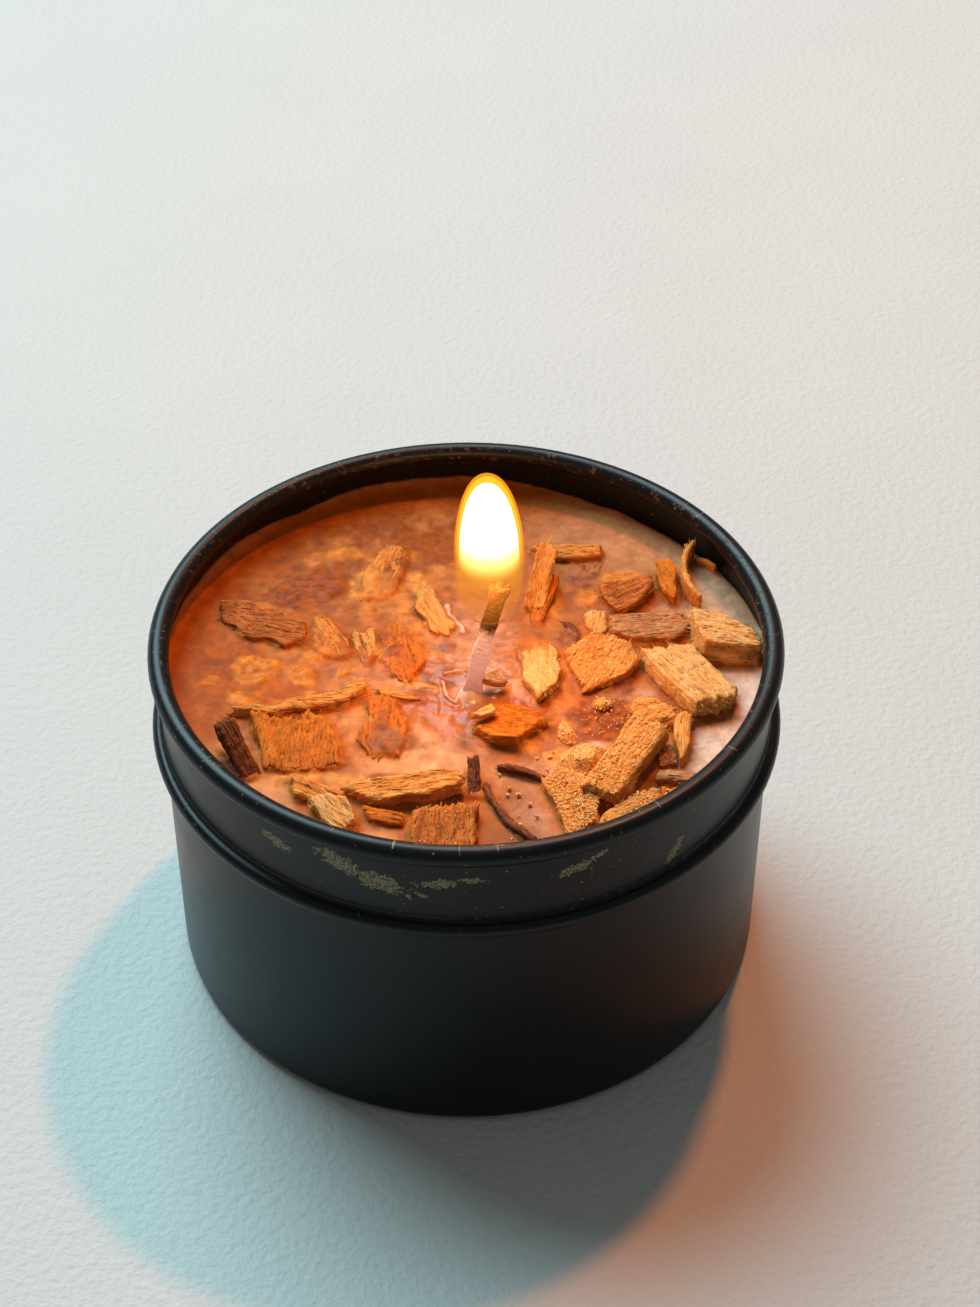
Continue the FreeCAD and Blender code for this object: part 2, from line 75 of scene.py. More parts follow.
def smooth(low, high, value):
    """A smooth step from 0 at low to 1 at high."""
    share = np.clip((value - low) / (high - low), 0.0, 1.0)
    return share * share * (3.0 - 2.0 * share)


def lattice(ix, iy, iz, seed):
    """A fixed pseudo-random number in 0..1 for each whole-numbered point."""
    mixed = (ix * 374761393 + iy * 668265263 + iz * 2147483647 + seed * 1274126177) & 0xFFFFFFFF
    mixed = ((mixed ^ (mixed >> 13)) * 1274126177) & 0xFFFFFFFF
    return ((mixed ^ (mixed >> 16)) & 0xFFFF) / 65535.0


def noise(points, seed=0):
    """Smooth value noise in -1..1 at an (n, 3) array of points, with features one unit across."""
    base = np.floor(points).astype(np.int64)
    share = points - base
    share = share * share * (3.0 - 2.0 * share)
    total = np.zeros(len(points))
    for dx in (0, 1):
        for dy in (0, 1):
            for dz in (0, 1):
                weight = (np.where(dx, share[:, 0], 1 - share[:, 0])
                          * np.where(dy, share[:, 1], 1 - share[:, 1])
                          * np.where(dz, share[:, 2], 1 - share[:, 2]))
                total += weight * lattice(base[:, 0] + dx, base[:, 1] + dy, base[:, 2] + dz, seed)
    return total * 2.0 - 1.0


def fractal(points, seed=0, octaves=3):
    """Value noise with finer octaves added at half strength each."""
    total = np.zeros(len(points))
    for octave in range(octaves):
        total += noise(points * 2.0 ** octave, seed + 17 * octave) * 0.5 ** octave
    return total / (2.0 - 0.5 ** (octaves - 1))


# ---- meshes and pieces

def new_mesh(name, points_mm, faces):
    """A mesh from points in millimetres and lists of corner numbers, shaded smooth."""
    mesh = bpy.data.meshes.new(name)
    corners = [tuple(int(i) for i in face) for face in faces]
    mesh.from_pydata((np.asarray(points_mm) * MM).tolist(), [], corners)
    mesh.validate()
    mesh.polygons.foreach_set("use_smooth", [True] * len(mesh.polygons))
    mesh.update()
    return mesh


def set_floats(mesh, name, values):
    """Stores one number for each point, for a material to read."""
    layer = mesh.attributes.new(name, "FLOAT", "POINT")
    layer.data.foreach_set("value", np.ascontiguousarray(values, dtype=np.float32))


def set_vectors(mesh, name, values):
    """Stores one vector for each point, for a material to read."""
    layer = mesh.attributes.new(name, "FLOAT_VECTOR", "POINT")
    layer.data.foreach_set("vector", np.ascontiguousarray(values, dtype=np.float32).ravel())


def add_piece(name, mesh, material, replaced=()):
    """Puts a mesh in the scene as a piece of the candle that rides on its one body."""
    piece = bpy.data.objects.new(name, mesh)
    bpy.context.scene.collection.objects.link(piece)
    mesh.materials.clear()
    mesh.materials.append(material)
    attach(piece, ROOT)
    if replaced:
        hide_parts(*replaced)
    return piece


def grid_faces(rows, columns, closed_columns=False):
    """Quads over a rows x columns array of points, which may close on itself across its columns."""
    faces = []
    last = columns if closed_columns else columns - 1
    for row in range(rows - 1):
        for column in range(last):
            after = (column + 1) % columns
            faces.append((row * columns + column, row * columns + after,
                          (row + 1) * columns + after, (row + 1) * columns + column))
    return faces


# ---- node materials

class Shade:
    """A small helper that adds nodes to one material's tree."""

    def __init__(self, name):
        self.material = bpy.data.materials.new(name)
        self.material.use_nodes = True
        self.tree = self.material.node_tree
        self.surface = self.tree.nodes["Principled BSDF"]
        self.output = self.tree.nodes["Material Output"]

    def node(self, kind, **settings):
        made = self.tree.nodes.new(kind)
        for key, value in settings.items():
            setattr(made, key, value)
        return made

    def put(self, socket, value):
        """Sets a socket to a plain value, or links it to another node's output."""
        if isinstance(value, bpy.types.NodeSocket):
            self.tree.links.new(value, socket)
        else:
            socket.default_value = value

    def math(self, operation, first, second=0.0, clamp=False):
        made = self.node("ShaderNodeMath", operation=operation, use_clamp=clamp)
        for socket, value in zip(made.inputs, (first, second)):
            self.put(socket, value)
        return made.outputs[0]

    def times(self, first, second):
        return self.math("MULTIPLY", first, second)

    def plus(self, first, second):
        return self.math("ADD", first, second)

    def minus(self, first, second):
        return self.math("SUBTRACT", first, second)

    def split(self, vector):
        """The x, y and z of a vector."""
        made = self.node("ShaderNodeSeparateXYZ")
        self.put(made.inputs[0], vector)
        return made.outputs

    def ramp(self, value, stops):
        """A straight ramp over (position, grey or colour) stops."""
        made = self.node("ShaderNodeValToRGB")
        while len(made.color_ramp.elements) < len(stops):
            made.color_ramp.elements.new(0.5)
        for element, (position, colour) in zip(made.color_ramp.elements, stops):
            element.position = position
            element.color = (*colour, 1.0) if isinstance(colour, tuple) else (colour, colour, colour, 1.0)
        self.put(made.inputs[0], value)
        return made.outputs[0]

    def mix(self, share, first, second, blend="MIX"):
        made = self.node("ShaderNodeMix", data_type="RGBA", blend_type=blend)
        self.put(made.inputs[0], share)
        for socket, value in ((made.inputs[6], first), (made.inputs[7], second)):
            self.put(socket, (*value, 1.0) if isinstance(value, tuple) else value)
        return made.outputs[2]

    def read(self, name, output="Fac"):
        return self.node("ShaderNodeAttribute", attribute_name=name).outputs[output]

    def place(self, scale=(1.0, 1.0, 1.0), source=None):
        """Object coordinates, or a given vector, stretched by scale."""
        made = self.node("ShaderNodeMapping")
        self.put(made.inputs["Vector"], source or self.node("ShaderNodeTexCoord").outputs["Object"])
        made.inputs["Scale"].default_value = scale
        return made.outputs[0]

    def place_mm(self, scale=(1.0, 1.0, 1.0)):
        """Object coordinates with one unit to a millimetre, stretched by scale."""
        return self.place(tuple(PER_MM * value for value in scale))

    def clouds(self, vector, scale, detail=4.0, roughness=0.55, distortion=0.0):
        made = self.node("ShaderNodeTexNoise")
        self.put(made.inputs["Vector"], vector)
        made.inputs["Scale"].default_value = scale
        made.inputs["Detail"].default_value = detail
        made.inputs["Roughness"].default_value = roughness
        made.inputs["Distortion"].default_value = distortion
        return made.outputs["Fac"]

    def cells(self, vector, scale):
        made = self.node("ShaderNodeTexVoronoi")
        self.put(made.inputs["Vector"], vector)
        made.inputs["Scale"].default_value = scale
        return made.outputs["Distance"]

    def bump(self, height, strength, distance_mm):
        made = self.node("ShaderNodeBump")
        self.put(made.inputs["Height"], height)
        made.inputs["Strength"].default_value = strength
        made.inputs["Distance"].default_value = distance_mm * MM
        return made.outputs[0]

    def set(self, **values):
        """Sets the surface's sockets, named with _ for each space."""
        for key, value in values.items():
            self.put(self.surface.inputs[key.replace("_", " ")], value)


NECK_RADIUS = 38.0  # mm
TIN_HEIGHT = 48.0  # mm
BORE_RADIUS = 37.5  # mm, the inside of the neck
# Worn patches on the neck: distance round from the front, height, half length and half height in mm, turn.
WORN_PATCHES = (
    (-23.4, 42.6, 2.6, 0.9, -0.3), (-15.0, 43.2, 3.6, 1.5, -0.42), (-10.2, 41.6, 4.2, 1.7, -0.3),
    (-3.4, 42.4, 2.8, 0.9, 0.12), (0.4, 43.1, 2.1, 0.6, 0.0), (-5.4, 40.4, 0.9, 0.4, -0.5),
    (12.3, 42.8, 2.6, 0.9, 0.3), (15.2, 43.9, 1.6, 0.5, 0.3), (26.0, 38.9, 2.1, 0.9, 0.85),
)


def tin_material():
    """Satin black paint on tinplate: dust, scuffs, wax splashes, and patches worn to olive-gold metal."""
    shade = Shade("tin_satin_black")
    where = shade.place_mm()
    x, y, z = shade.split(where)
    around = shade.times(shade.math("ARCTAN2", x, shade.times(y, -1.0)), NECK_RADIUS)
    unrolled = shade.node("ShaderNodeCombineXYZ")
    shade.put(unrolled.inputs[0], around)
    shade.put(unrolled.inputs[1], z)
    flat = unrolled.outputs[0]

    ragged = shade.clouds(shade.place((1.0, 1.0, 1.0), flat), 0.85, 8.0, 0.72, 0.6)
    fine = shade.clouds(shade.place((1.0, 1.4, 1.0), flat), 2.6, 6.0, 0.7, 0.3)
    worn = 0.0
    for middle, height, half_length, half_height, turn in WORN_PATCHES:
        along = shade.minus(around, middle)
        up = shade.minus(z, height)
        cosine, sine = math.cos(turn), math.sin(turn)
        u = shade.plus(shade.times(along, cosine / half_length),
                       shade.times(up, sine / half_length))
        v = shade.minus(shade.times(up, cosine / half_height),
                       shade.times(along, sine / half_height))
        far_squared = shade.plus(shade.times(u, u), shade.times(v, v))
        inside = shade.minus(1.0, shade.math("SQRT", far_squared))
        worn = inside if worn == 0.0 else shade.math("MAXIMUM", worn, inside)
    edge = shade.plus(worn, shade.times(shade.minus(ragged, 0.5), 2.6))
    edge = shade.plus(edge, shade.times(shade.minus(fine, 0.5), 1.4))
    patch = shade.ramp(edge, ((0.20, 0.0), (0.26, 1.0)))

    # Stray chips of paint all over the neck's front, and a few on the body.
    neck = shade.ramp(shade.math("DIVIDE", z, TIN_HEIGHT), ((0.72, 0.06), (0.8, 1.0)))
    specks = shade.ramp(shade.clouds(flat, 1.7, 2.0, 0.4), ((0.69, 0.0), (0.73, 1.0)))
    specks = shade.times(specks, neck)
    bare = shade.math("MAXIMUM", patch, specks, clamp=True)

    # Hair scratches drawn round and down.
    scratch_a = shade.ramp(shade.clouds(shade.place((0.35, 7.0, 1.0), flat), 1.0, 3.0, 0.6, 0.4),
                           ((0.66, 0.0), (0.72, 1.0)))
    scratch_b = shade.ramp(shade.clouds(shade.place((6.0, 0.5, 1.0), flat), 1.0, 3.0, 0.6, 0.8),
                           ((0.68, 0.0), (0.74, 1.0)))
    scratches = shade.times(shade.math("MAXIMUM", scratch_a, scratch_b), 0.28)

    # Wax that has splashed on the inside of the neck and the top of the curl.
    splash = shade.ramp(shade.clouds(where, 1.15, 5.0, 0.6, 0.3), ((0.58, 0.0), (0.67, 1.0)))
    reach = shade.math("SQRT", shade.plus(shade.times(x, x), shade.times(y, y)))
    inner = shade.minus(BORE_RADIUS, reach)
    inside_only = shade.times(shade.ramp(inner, ((0.0, 0.0), (0.25, 1.0))), 0.9)
    wall_wax = shade.times(splash, inside_only)

    dust = shade.clouds(where, 0.22, 5.0, 0.6)
    grain = shade.clouds(where, 5.5, 3.0, 0.6)
    paint = shade.mix(dust, (0.0026, 0.0034, 0.0050), (0.0062, 0.0070, 0.0088))
    bright = shade.ramp(fine, ((0.35, 0.0), (0.65, 1.0)))
    metal = shade.mix(bright, (0.075, 0.066, 0.036), (0.36, 0.32, 0.185))
    flakes = shade.ramp(shade.clouds(flat, 3.0, 6.0, 0.75), ((0.50, 0.0), (0.56, 0.95)))
    metal = shade.mix(flakes, metal, (0.012, 0.012, 0.011))
    colour = shade.mix(scratches, paint, (0.05, 0.05, 0.052))
    colour = shade.mix(bare, colour, metal)
    colour = shade.mix(wall_wax, colour, (0.15, 0.050, 0.016))
    rough = shade.plus(0.27, shade.times(dust, 0.14))
    rough = shade.plus(rough, shade.times(bare, 0.12))
    rough = shade.plus(rough, shade.times(scratches, 0.12))
    height = shade.minus(shade.times(grain, 0.25), shade.times(bare, 0.8))
    height = shade.minus(height, shade.times(scratches, 0.3))
    height = shade.plus(height, shade.times(wall_wax, 1.5))
    shade.set(Base_Color=colour, Roughness=rough, Normal=shade.bump(height, 0.5, 0.06),
              Metallic=shade.times(bare, 0.55), Specular_IOR_Level=0.28)
    return shade.material


def wax_material():
    """Half-melted wax, tinted by the wood in it, soft and pale where it is hard and wet round the wick."""
    shade = Shade("wax_melted")
    where = shade.place_mm()
    tint = shade.read("tint", "Vector")
    wet = shade.read("wet")
    mottle = shade.clouds(where, 0.45, 5.0, 0.65, 0.5)
    fleck = shade.clouds(where, 2.6, 4.0, 0.6)
    lighter = shade.mix(1.0, tint, (1.22, 1.20, 1.16), "MULTIPLY")
    darker = shade.mix(1.0, tint, (0.76, 0.68, 0.60), "MULTIPLY")
    base = shade.mix(shade.ramp(mottle, ((0.34, 0.0), (0.68, 1.0))), darker, lighter)
    specks = shade.ramp(shade.clouds(where, 3.2, 2.0, 0.5), ((0.68, 0.0), (0.73, 0.9)))
    base = shade.mix(shade.times(specks, shade.read("litter")), base, (0.62, 0.30, 0.10))
    ripple = shade.plus(shade.times(mottle, 0.5), shade.times(fleck, 0.10))
    shade.set(Base_Color=base, Roughness=shade.plus(0.36, shade.times(mottle, 0.20)),
              Normal=shade.bump(ripple, 0.3, 0.22), Coat_Weight=shade.times(wet, 0.4), Coat_Roughness=0.06,
              Subsurface_Weight=0.30, Subsurface_Radius=(1.0, 0.42, 0.2), Subsurface_Scale=1.8 * MM,
              Specular_IOR_Level=0.07)
    return shade.material


def wood_material(name, pale, deep, dark, gloss):
    """Split wood: long fibres, pores and darker streaks, soaked with wax near the wax's surface."""
    shade = Shade(name)
    grain = shade.read("grain", "Vector")
    soak = shade.read("soak")
    fibres = shade.clouds(shade.place((0.45, 6.0, 6.0), grain), 1.0, 5.0, 0.7, 0.25)
    threads = shade.clouds(shade.place((0.9, 15.0, 15.0), grain), 1.0, 3.0, 0.6)
    streaks = shade.clouds(shade.place((0.12, 1.3, 1.3), grain), 1.0, 4.0, 0.6, 0.6)
    pores = shade.clouds(shade.place((2.2, 7.0, 7.0), grain), 1.0, 2.0, 0.5)
    pores = shade.ramp(pores, ((0.58, 0.0), (0.68, 1.0)))
    blotch = shade.clouds(grain, 0.5, 5.0, 0.65)
    colour = shade.mix(shade.ramp(fibres, ((0.34, 0.0), (0.60, 1.0))), deep, pale)
    colour = shade.mix(shade.ramp(blotch, ((0.42, 0.0), (0.60, 0.85))), colour, deep)
    colour = shade.mix(shade.ramp(streaks, ((0.50, 0.0), (0.70, 0.8))), colour, dark)
    colour = shade.mix(shade.times(pores, 0.5), colour, dark)
    glint = shade.ramp(threads, ((0.60, 0.0), (0.72, 0.55)))
    colour = shade.mix(glint, colour, tuple(min(1.0, value * 1.45 + 0.03) for value in pale))
    wet = shade.mix(fibres, tuple(value * share for value, share in zip(deep, (0.85, 0.62, 0.30))),
                    tuple(value * share for value, share in zip(pale, (0.90, 0.68, 0.32))))
    wet = shade.mix(shade.ramp(blotch, ((0.42, 0.0), (0.66, 0.5))), wet, dark)
    colour = shade.mix(shade.times(soak, 0.85), colour, wet)
    rough = shade.minus(0.80, shade.times(soak, 0.36))
    height = shade.plus(fibres, shade.times(threads, 0.35))
    height = shade.minus(height, shade.times(pores, 0.6))
    shade.set(Base_Color=colour, Roughness=rough, Normal=shade.bump(height, 0.75, 0.17),
              Subsurface_Weight=0.30, Subsurface_Radius=(1.0, 0.4, 0.10), Subsurface_Scale=1.2 * MM,
              Specular_IOR_Level=gloss)
    return shade.material


def sawdust_material():
    """Loose sawdust: each grain a little lighter or darker than the next."""
    shade = Shade("sawdust_grains")
    tone = shade.read("tone")
    where = shade.place_mm()
    fibres = shade.clouds(where, 5.0, 3.0, 0.6)
    colour = shade.ramp(tone, ((0.0, (0.66, 0.25, 0.045)), (0.35, (0.92, 0.44, 0.10)),
                               (0.8, (0.98, 0.60, 0.20)), (1.0, (1.0, 0.80, 0.42))))
    colour = shade.mix(shade.times(fibres, 0.2), colour, (0.70, 0.28, 0.05))
    shade.set(Base_Color=colour, Roughness=shade.plus(0.6, shade.times(fibres, 0.3)),
              Normal=shade.bump(fibres, 0.5, 0.1))
    return shade.material


def wick_material():
    """Cotton under pale wax with a painted glow in place of the flame's light shining through it, then
    charred black, then brown with an ember.
    """
    shade = Shade("wick_cotton")
    burnt = shade.read("burnt")
    where = shade.place_mm()
    threads = shade.clouds(shade.place_mm((1.0, 1.0, 0.35)), 3.2, 4.0, 0.6)
    blotch = shade.clouds(where, 1.3, 5.0, 0.65)
    edge = shade.plus(burnt, shade.times(shade.minus(blotch, 0.5), 0.13))
    colour = shade.ramp(edge, (
        (0.0, (0.80, 0.56, 0.44)), (0.20, (0.88, 0.72, 0.66)), (0.57, (0.80, 0.66, 0.60)),
        (0.62, (0.20, 0.11, 0.085)), (0.66, (0.016, 0.008, 0.006)), (0.78, (0.07, 0.028, 0.013)),
        (0.93, (0.10, 0.042, 0.018)), (1.0, (0.16, 0.060, 0.014))))
    specks = shade.ramp(shade.clouds(where, 4.5, 3.0, 0.6), ((0.60, 0.0), (0.68, 0.6)))
    colour = shade.mix(specks, colour, (0.10, 0.035, 0.015))
    sooty = shade.times(shade.ramp(threads, ((0.5, 0.0), (0.75, 0.5))), burnt)
    colour = shade.mix(sooty, colour, (0.03, 0.012, 0.008))
    rough = shade.ramp(edge, ((0.55, 0.25), (0.65, 0.9)))
    ember = shade.times(shade.ramp(burnt, ((0.93, 0.0), (1.0, 1.0))),
                       shade.ramp(shade.clouds(where, 2.6, 4.0, 0.6), ((0.46, 0.0), (0.58, 1.0))))
    # Painted glow: the pale waxy wick below the char emits a little light, standing in for the flame's
    # light through the wax.
    painted_glow = shade.ramp(edge, ((0.05, 0.10), (0.30, 0.26), (0.55, 0.22), (0.62, 0.0)))
    shade.set(Base_Color=colour, Roughness=rough, Normal=shade.bump(threads, 0.6, 0.12),
              Emission_Color=shade.mix(ember, (0.95, 0.56, 0.48), (1.0, 0.30, 0.03)),
              Emission_Strength=shade.plus(shade.times(ember, 0.12), painted_glow),
              Subsurface_Weight=0.5, Subsurface_Scale=2.0 * MM)
    return shade.material


def plate_material():
    """Stamped tinplate of the wick's foot."""
    shade = Shade("wick_foot_plate")
    where = shade.place_mm()
    brushed = shade.clouds(shade.place_mm((4.0, 0.3, 1.0)), 1.0, 4.0, 0.6)
    shade.set(Base_Color=shade.mix(brushed, (0.42, 0.42, 0.43), (0.62, 0.62, 0.63)), Metallic=1.0,
              Roughness=shade.plus(0.28, shade.times(brushed, 0.2)),
              Normal=shade.bump(shade.clouds(where, 2.0), 0.2, 0.05))
    return shade.material


def sticker_material():
    """Off-white foam of the adhesive dot."""
    shade = Shade("sticker_foam")
    where = shade.place_mm()
    foam = shade.cells(where, 2.6)
    shade.set(Base_Color=shade.mix(foam, (0.80, 0.78, 0.72), (0.66, 0.64, 0.58)), Roughness=0.85,
              Normal=shade.bump(foam, 0.6, 0.15))
    return shade.material


def flame_material(name, low, high, brightest, colours, opacity):
    """One layer of glowing gas. Its colour and how solid it is change with height only."""
    shade = Shade(name)
    shade.tree.nodes.remove(shade.surface)
    level = shade.split(shade.node("ShaderNodeTexCoord").outputs["Object"])[2]
    up = shade.math("DIVIDE", shade.minus(level, low), high - low)
    extra = shade.times(shade.ramp(up, ((0.42, 0.0), (0.62, 1.0))), brightest - 1.0)
    glow = shade.node("ShaderNodeEmission")
    shade.put(glow.inputs["Color"], shade.ramp(up, colours))
    shade.put(glow.inputs["Strength"], shade.plus(1.0, extra))
    clear = shade.node("ShaderNodeBsdfTransparent")
    layer = shade.node("ShaderNodeMixShader")
    shade.put(layer.inputs[0], shade.ramp(up, opacity))
    shade.put(layer.inputs[1], clear.outputs[0])
    shade.put(layer.inputs[2], glow.outputs[0])
    shade.put(shade.output.inputs["Surface"], layer.outputs[0])
    return shade.material


def table_material():
    """The pale, slightly grained table."""
    shade = Shade("pale_table")
    where = shade.place_mm()
    grain = shade.clouds(where, 0.85, 3.0, 0.55)
    broad = shade.clouds(where, 0.02, 3.0, 0.5)
    shade.set(Base_Color=shade.mix(broad, (0.60, 0.60, 0.585), (0.66, 0.655, 0.635)), Roughness=0.6,
              Normal=shade.bump(grain, 0.36, 0.7))
    return shade.material


# ---- the surface as a map

class SurfaceMap:
    """Square maps over the wax, seen from above, with one cell each CELL millimetres."""

    CELL = 0.2
    HALF = 40.0

    def __init__(self):
        self.count = int(2 * self.HALF / self.CELL) + 1

    def empty(self):
        return np.zeros((self.count, self.count))

    def stamp(self, target, triangles, floor):
        """Raises the map to the top of the triangles that are above the floor."""
        for corners in triangles:
            if corners[:, 2].max() < floor:
                continue
            spots = (corners[:, :2] + self.HALF) / self.CELL
            low = np.maximum(np.floor(spots.min(0)).astype(int), 0)
            high = np.minimum(np.ceil(spots.max(0)).astype(int) + 1, self.count)
            ys, xs = np.meshgrid(np.arange(low[1], high[1]), np.arange(low[0], high[0]), indexing="ij")
            (ax, ay), (bx, by), (cx, cy) = spots
            area = (bx - ax) * (cy - ay) - (cx - ax) * (by - ay)
            if abs(area) < 1e-9:
                continue
            second = ((xs - ax) * (cy - ay) - (cx - ax) * (ys - ay)) / area
            third = ((bx - ax) * (ys - ay) - (xs - ax) * (by - ay)) / area
            first = 1 - second - third
            held = (first >= 0) & (second >= 0) & (third >= 0)
            height = first * corners[0, 2] + second * corners[1, 2] + third * corners[2, 2]
            view = target[low[1]:high[1], low[0]:high[0]]
            view[held] = np.maximum(view[held], height[held])

    def blur(self, values, radius_mm):
        """A Gaussian blur with that standard deviation."""
        steps = np.fft.fftfreq(self.count, self.CELL)
        across = np.exp(-2.0 * (math.pi * radius_mm * steps) ** 2)
        return np.real(np.fft.ifft2(np.fft.fft2(values) * across[:, None] * across[None, :]))

    def sample(self, values, x, y):
        """The map's value at points in millimetres."""
        column = np.clip((x + self.HALF) / self.CELL, 0, self.count - 1.001)
        row = np.clip((y + self.HALF) / self.CELL, 0, self.count - 1.001)
        c, r = column.astype(int), row.astype(int)
        fc, fr = column - c, row - r
        return ((values[r, c] * (1 - fc) + values[r, c + 1] * fc) * (1 - fr)
                + (values[r + 1, c] * (1 - fc) + values[r + 1, c + 1] * fc) * fr)


# ---- wood

# How each piece of wood looks: its material, the heading of its grain in degrees from +X towards +Y (None
# for the way it is longest), how ragged its ends are (mm), how far its edges curl up (mm), and how much wax
# covers it, from 0 to 1.
WOOD = {
    "chip_rim_block": ("straw", -14, 0.35, 0.0, 0.05),
    "chip_square": ("straw", 118, 0.55, 0.0, 0.0),
    "chip_long_brown": ("umber", 2, 0.5, 0.1, 0.55),
    "chip_straw_back": ("straw", 80, 0.5, 0.0, 0.35),
    "chip_rust_back": ("rust", 25, 0.6, 0.3, 0.45),
    "chip_curved_back": ("orange", 100, 0.4, 0.4, 0.3),
    "chip_orange_back": ("orange", 68, 0.4, 0.2, 0.3),
    "chip_pale_back": ("honey", 2, 0.4, 0.1, 0.5),
    "chip_brown_back": ("umber", 80, 0.5, 0.0, 0.9),
    "chip_dark_sliver": ("bark", 125, 0.3, 0.0, 0.3),
    "chip_leaf_middle": ("straw", 105, 0.45, 0.0, 0.1),
    "chip_amber_right": ("honey", 60, 0.8, 0.2, 0.55),
    "chip_cream_right": ("honey", 20, 0.5, 0.1, 0.2),
    "chip_thin_right": ("honey", 85, 0.4, 0.0, 0.15),
    "chip_umber_right": ("rust", 50, 0.8, 0.0, 0.8),
    "chip_brown_right": ("umber", 80, 0.4, 0.0, 0.5),
    "chip_fibrous_front": ("honey", 40, 0.9, 0.1, 0.1),
    "chip_wide_front": ("honey", 110, 0.9, 0.1, 0.2),
    "chip_orange_rim": ("orange", 20, 0.4, 0.0, 0.4),
    "chip_ribbed_front": ("rust", 86, 0.5, 0.0, 0.1),
    "chip_long_front": ("honey", 4, 0.7, 0.2, 0.2),
    "chip_olive_front": ("orange", -15, 0.4, 0.1, 0.5),
    "chip_cream_front": ("straw", -50, 0.35, 0.0, 0.0),
    "chip_pale_front": ("honey", -25, 0.5, 0.1, 0.4),
    "chip_ledge_left": ("honey", 8, 0.5, 0.1, 0.35),
    "chip_fan_left": ("orange", 88, 0.9, 0.1, 0.35),
    "chip_fuzzy_left": ("orange", 85, 0.9, 0.1, 0.6),
    "chip_strip_left": ("honey", -12, 0.3, 0.1, 0.4),
    "chip_dark_foot": ("bark", 120, 0.3, 0.0, 0.4),
    "chip_dark_end": ("rust", -18, 0.5, 0.3, 0.50),
    "chip_fuzzy_back": ("honey", 70, 0.9, 0.0, 0.6),
    "chip_amber_back": ("rust", 20, 0.9, 0.0, 0.9),
    "chip_pale_left": ("honey", 118, 0.6, 0.1, 0.6),
    "chip_orange_middle": ("orange", 100, 0.8, 0.1, 0.6),
    "chip_straw_middle": ("straw", 100, 0.6, 0.0, 0.55),
    "chip_leaf_wick": ("straw", 115, 0.5, 0.1, 0.5),
    "chip_sunk_left": ("orange", 40, 0.9, 0.0, 0.9),
    "chip_sunk_middle": ("orange", 90, 0.9, 0.0, 0.9),
    "chip_sunk_rim": ("orange", 20, 0.7, 0.0, 0.8),
    "chip_glow_wick": ("orange", -20, 0.5, 0.5, 0.35),
    "chip_bright_wick": ("straw", 25, 0.3, 0.1, 0.1),
    "chip_dark_wick": ("umber", 5, 0.3, 0.1, 0.2),
    "stick_powdered": ("honey", 59, 0.6, 0.0, 0.0),
    "stick_dark_left": ("bark", None, 0.4, 0.0, 0.0),
    "stick_upright_back": ("honey", None, 0.6, 0.2, 0.1),
    "stick_rim_right": ("umber", -9, 0.3, 0.0, 0.2),
    "sliver_front": ("bark", None, 0.3, 0.0, 0.1),
    "shaving_arc_right": ("honey", None, 0.2, 0.0, 0.1),
    "shaving_curl_right": ("honey", None, 0.15, 0.0, 0.1),
    "shaving_front_left": ("bark", None, 0.15, 0.0, 0.2),
    "shaving_front_right": ("bark", None, 0.15, 0.0, 0.3),
}
WOOD_TONES = {  # pale fibres, deep fibres, dark streaks, specular level
    "straw": ((0.92, 0.56, 0.25), (0.80, 0.36, 0.09), (0.52, 0.16, 0.018), 0.15),
    "honey": ((0.92, 0.46, 0.15), (0.78, 0.27, 0.035), (0.44, 0.105, 0.008), 0.15),
    "orange": ((0.84, 0.29, 0.022), (0.60, 0.145, 0.004), (0.28, 0.050, 0.003), 0.15),
    "rust": ((0.76, 0.26, 0.050), (0.46, 0.11, 0.012), (0.12, 0.024, 0.006), 0.18),
    "umber": ((0.72, 0.38, 0.20), (0.50, 0.20, 0.080), (0.16, 0.044, 0.014), 0.15),
    "bark": ((0.34, 0.090, 0.020), (0.13, 0.028, 0.010), (0.024, 0.007, 0.005), 0.25),
}
SUNK_COVER = 0.65  # wood covered more than this lies under a film of wax
SUNK_DROP_MM = 0.55  # how far the most covered wood sits below its CAD height, under its film of wax
SWELL_MM = 0.13  # gives back the thickness that smoothing takes
VOXEL_MM = 0.16
ROUNDING = 5  # smoothing passes that take the CAD's hard edges off
FIBRE_MM = 0.085  # how far the fibres stand out
UNEVEN_MM = 0.6  # how far the outline strays from the CAD's straight sides
SPLINTERS_PER_MM2 = 1.7
THIN_MM = 0.55  # wood with a smaller half thickness gets shallower fibres


def wood_frame(points, heading):
    """The grain's direction, the direction across it and the face's normal of a piece of wood."""
    centred = points - points.mean(0)
    _, axes = np.linalg.eigh(centred.T @ centred)
    normal, along = axes[:, 0], axes[:, 2]
    if heading is not None:
        angle = math.radians(heading)
        along = np.array([math.cos(angle), math.sin(angle), 0.0])
        along -= normal * (along @ normal)
        along /= np.linalg.norm(along)
    if normal[2] < 0:
        normal = -normal
    return along, np.cross(normal, along), normal


def remeshed(node):
    """The CAD node's mesh rebuilt from even voxels, as points in millimetres and quads."""
    source = NODES[node].data.copy()
    holder = bpy.data.objects.new("remesh_source", source)
    bpy.context.scene.collection.objects.link(holder)
    remesh = holder.modifiers.new("voxels", "REMESH")
    remesh.mode = "VOXEL"
    remesh.voxel_size = VOXEL_MM * MM
    rounded = holder.modifiers.new("rounded", "SMOOTH")
    rounded.iterations = ROUNDING
    made = bpy.data.meshes.new_from_object(holder.evaluated_get(bpy.context.evaluated_depsgraph_get()))
    bpy.data.objects.remove(holder)
    bpy.data.meshes.remove(source)
    points = np.empty(len(made.vertices) * 3)
    made.vertices.foreach_get("co", points)
    faces = [tuple(face.vertices) for face in made.polygons]
    bpy.data.meshes.remove(made)
    return points.reshape(-1, 3) / MM, faces


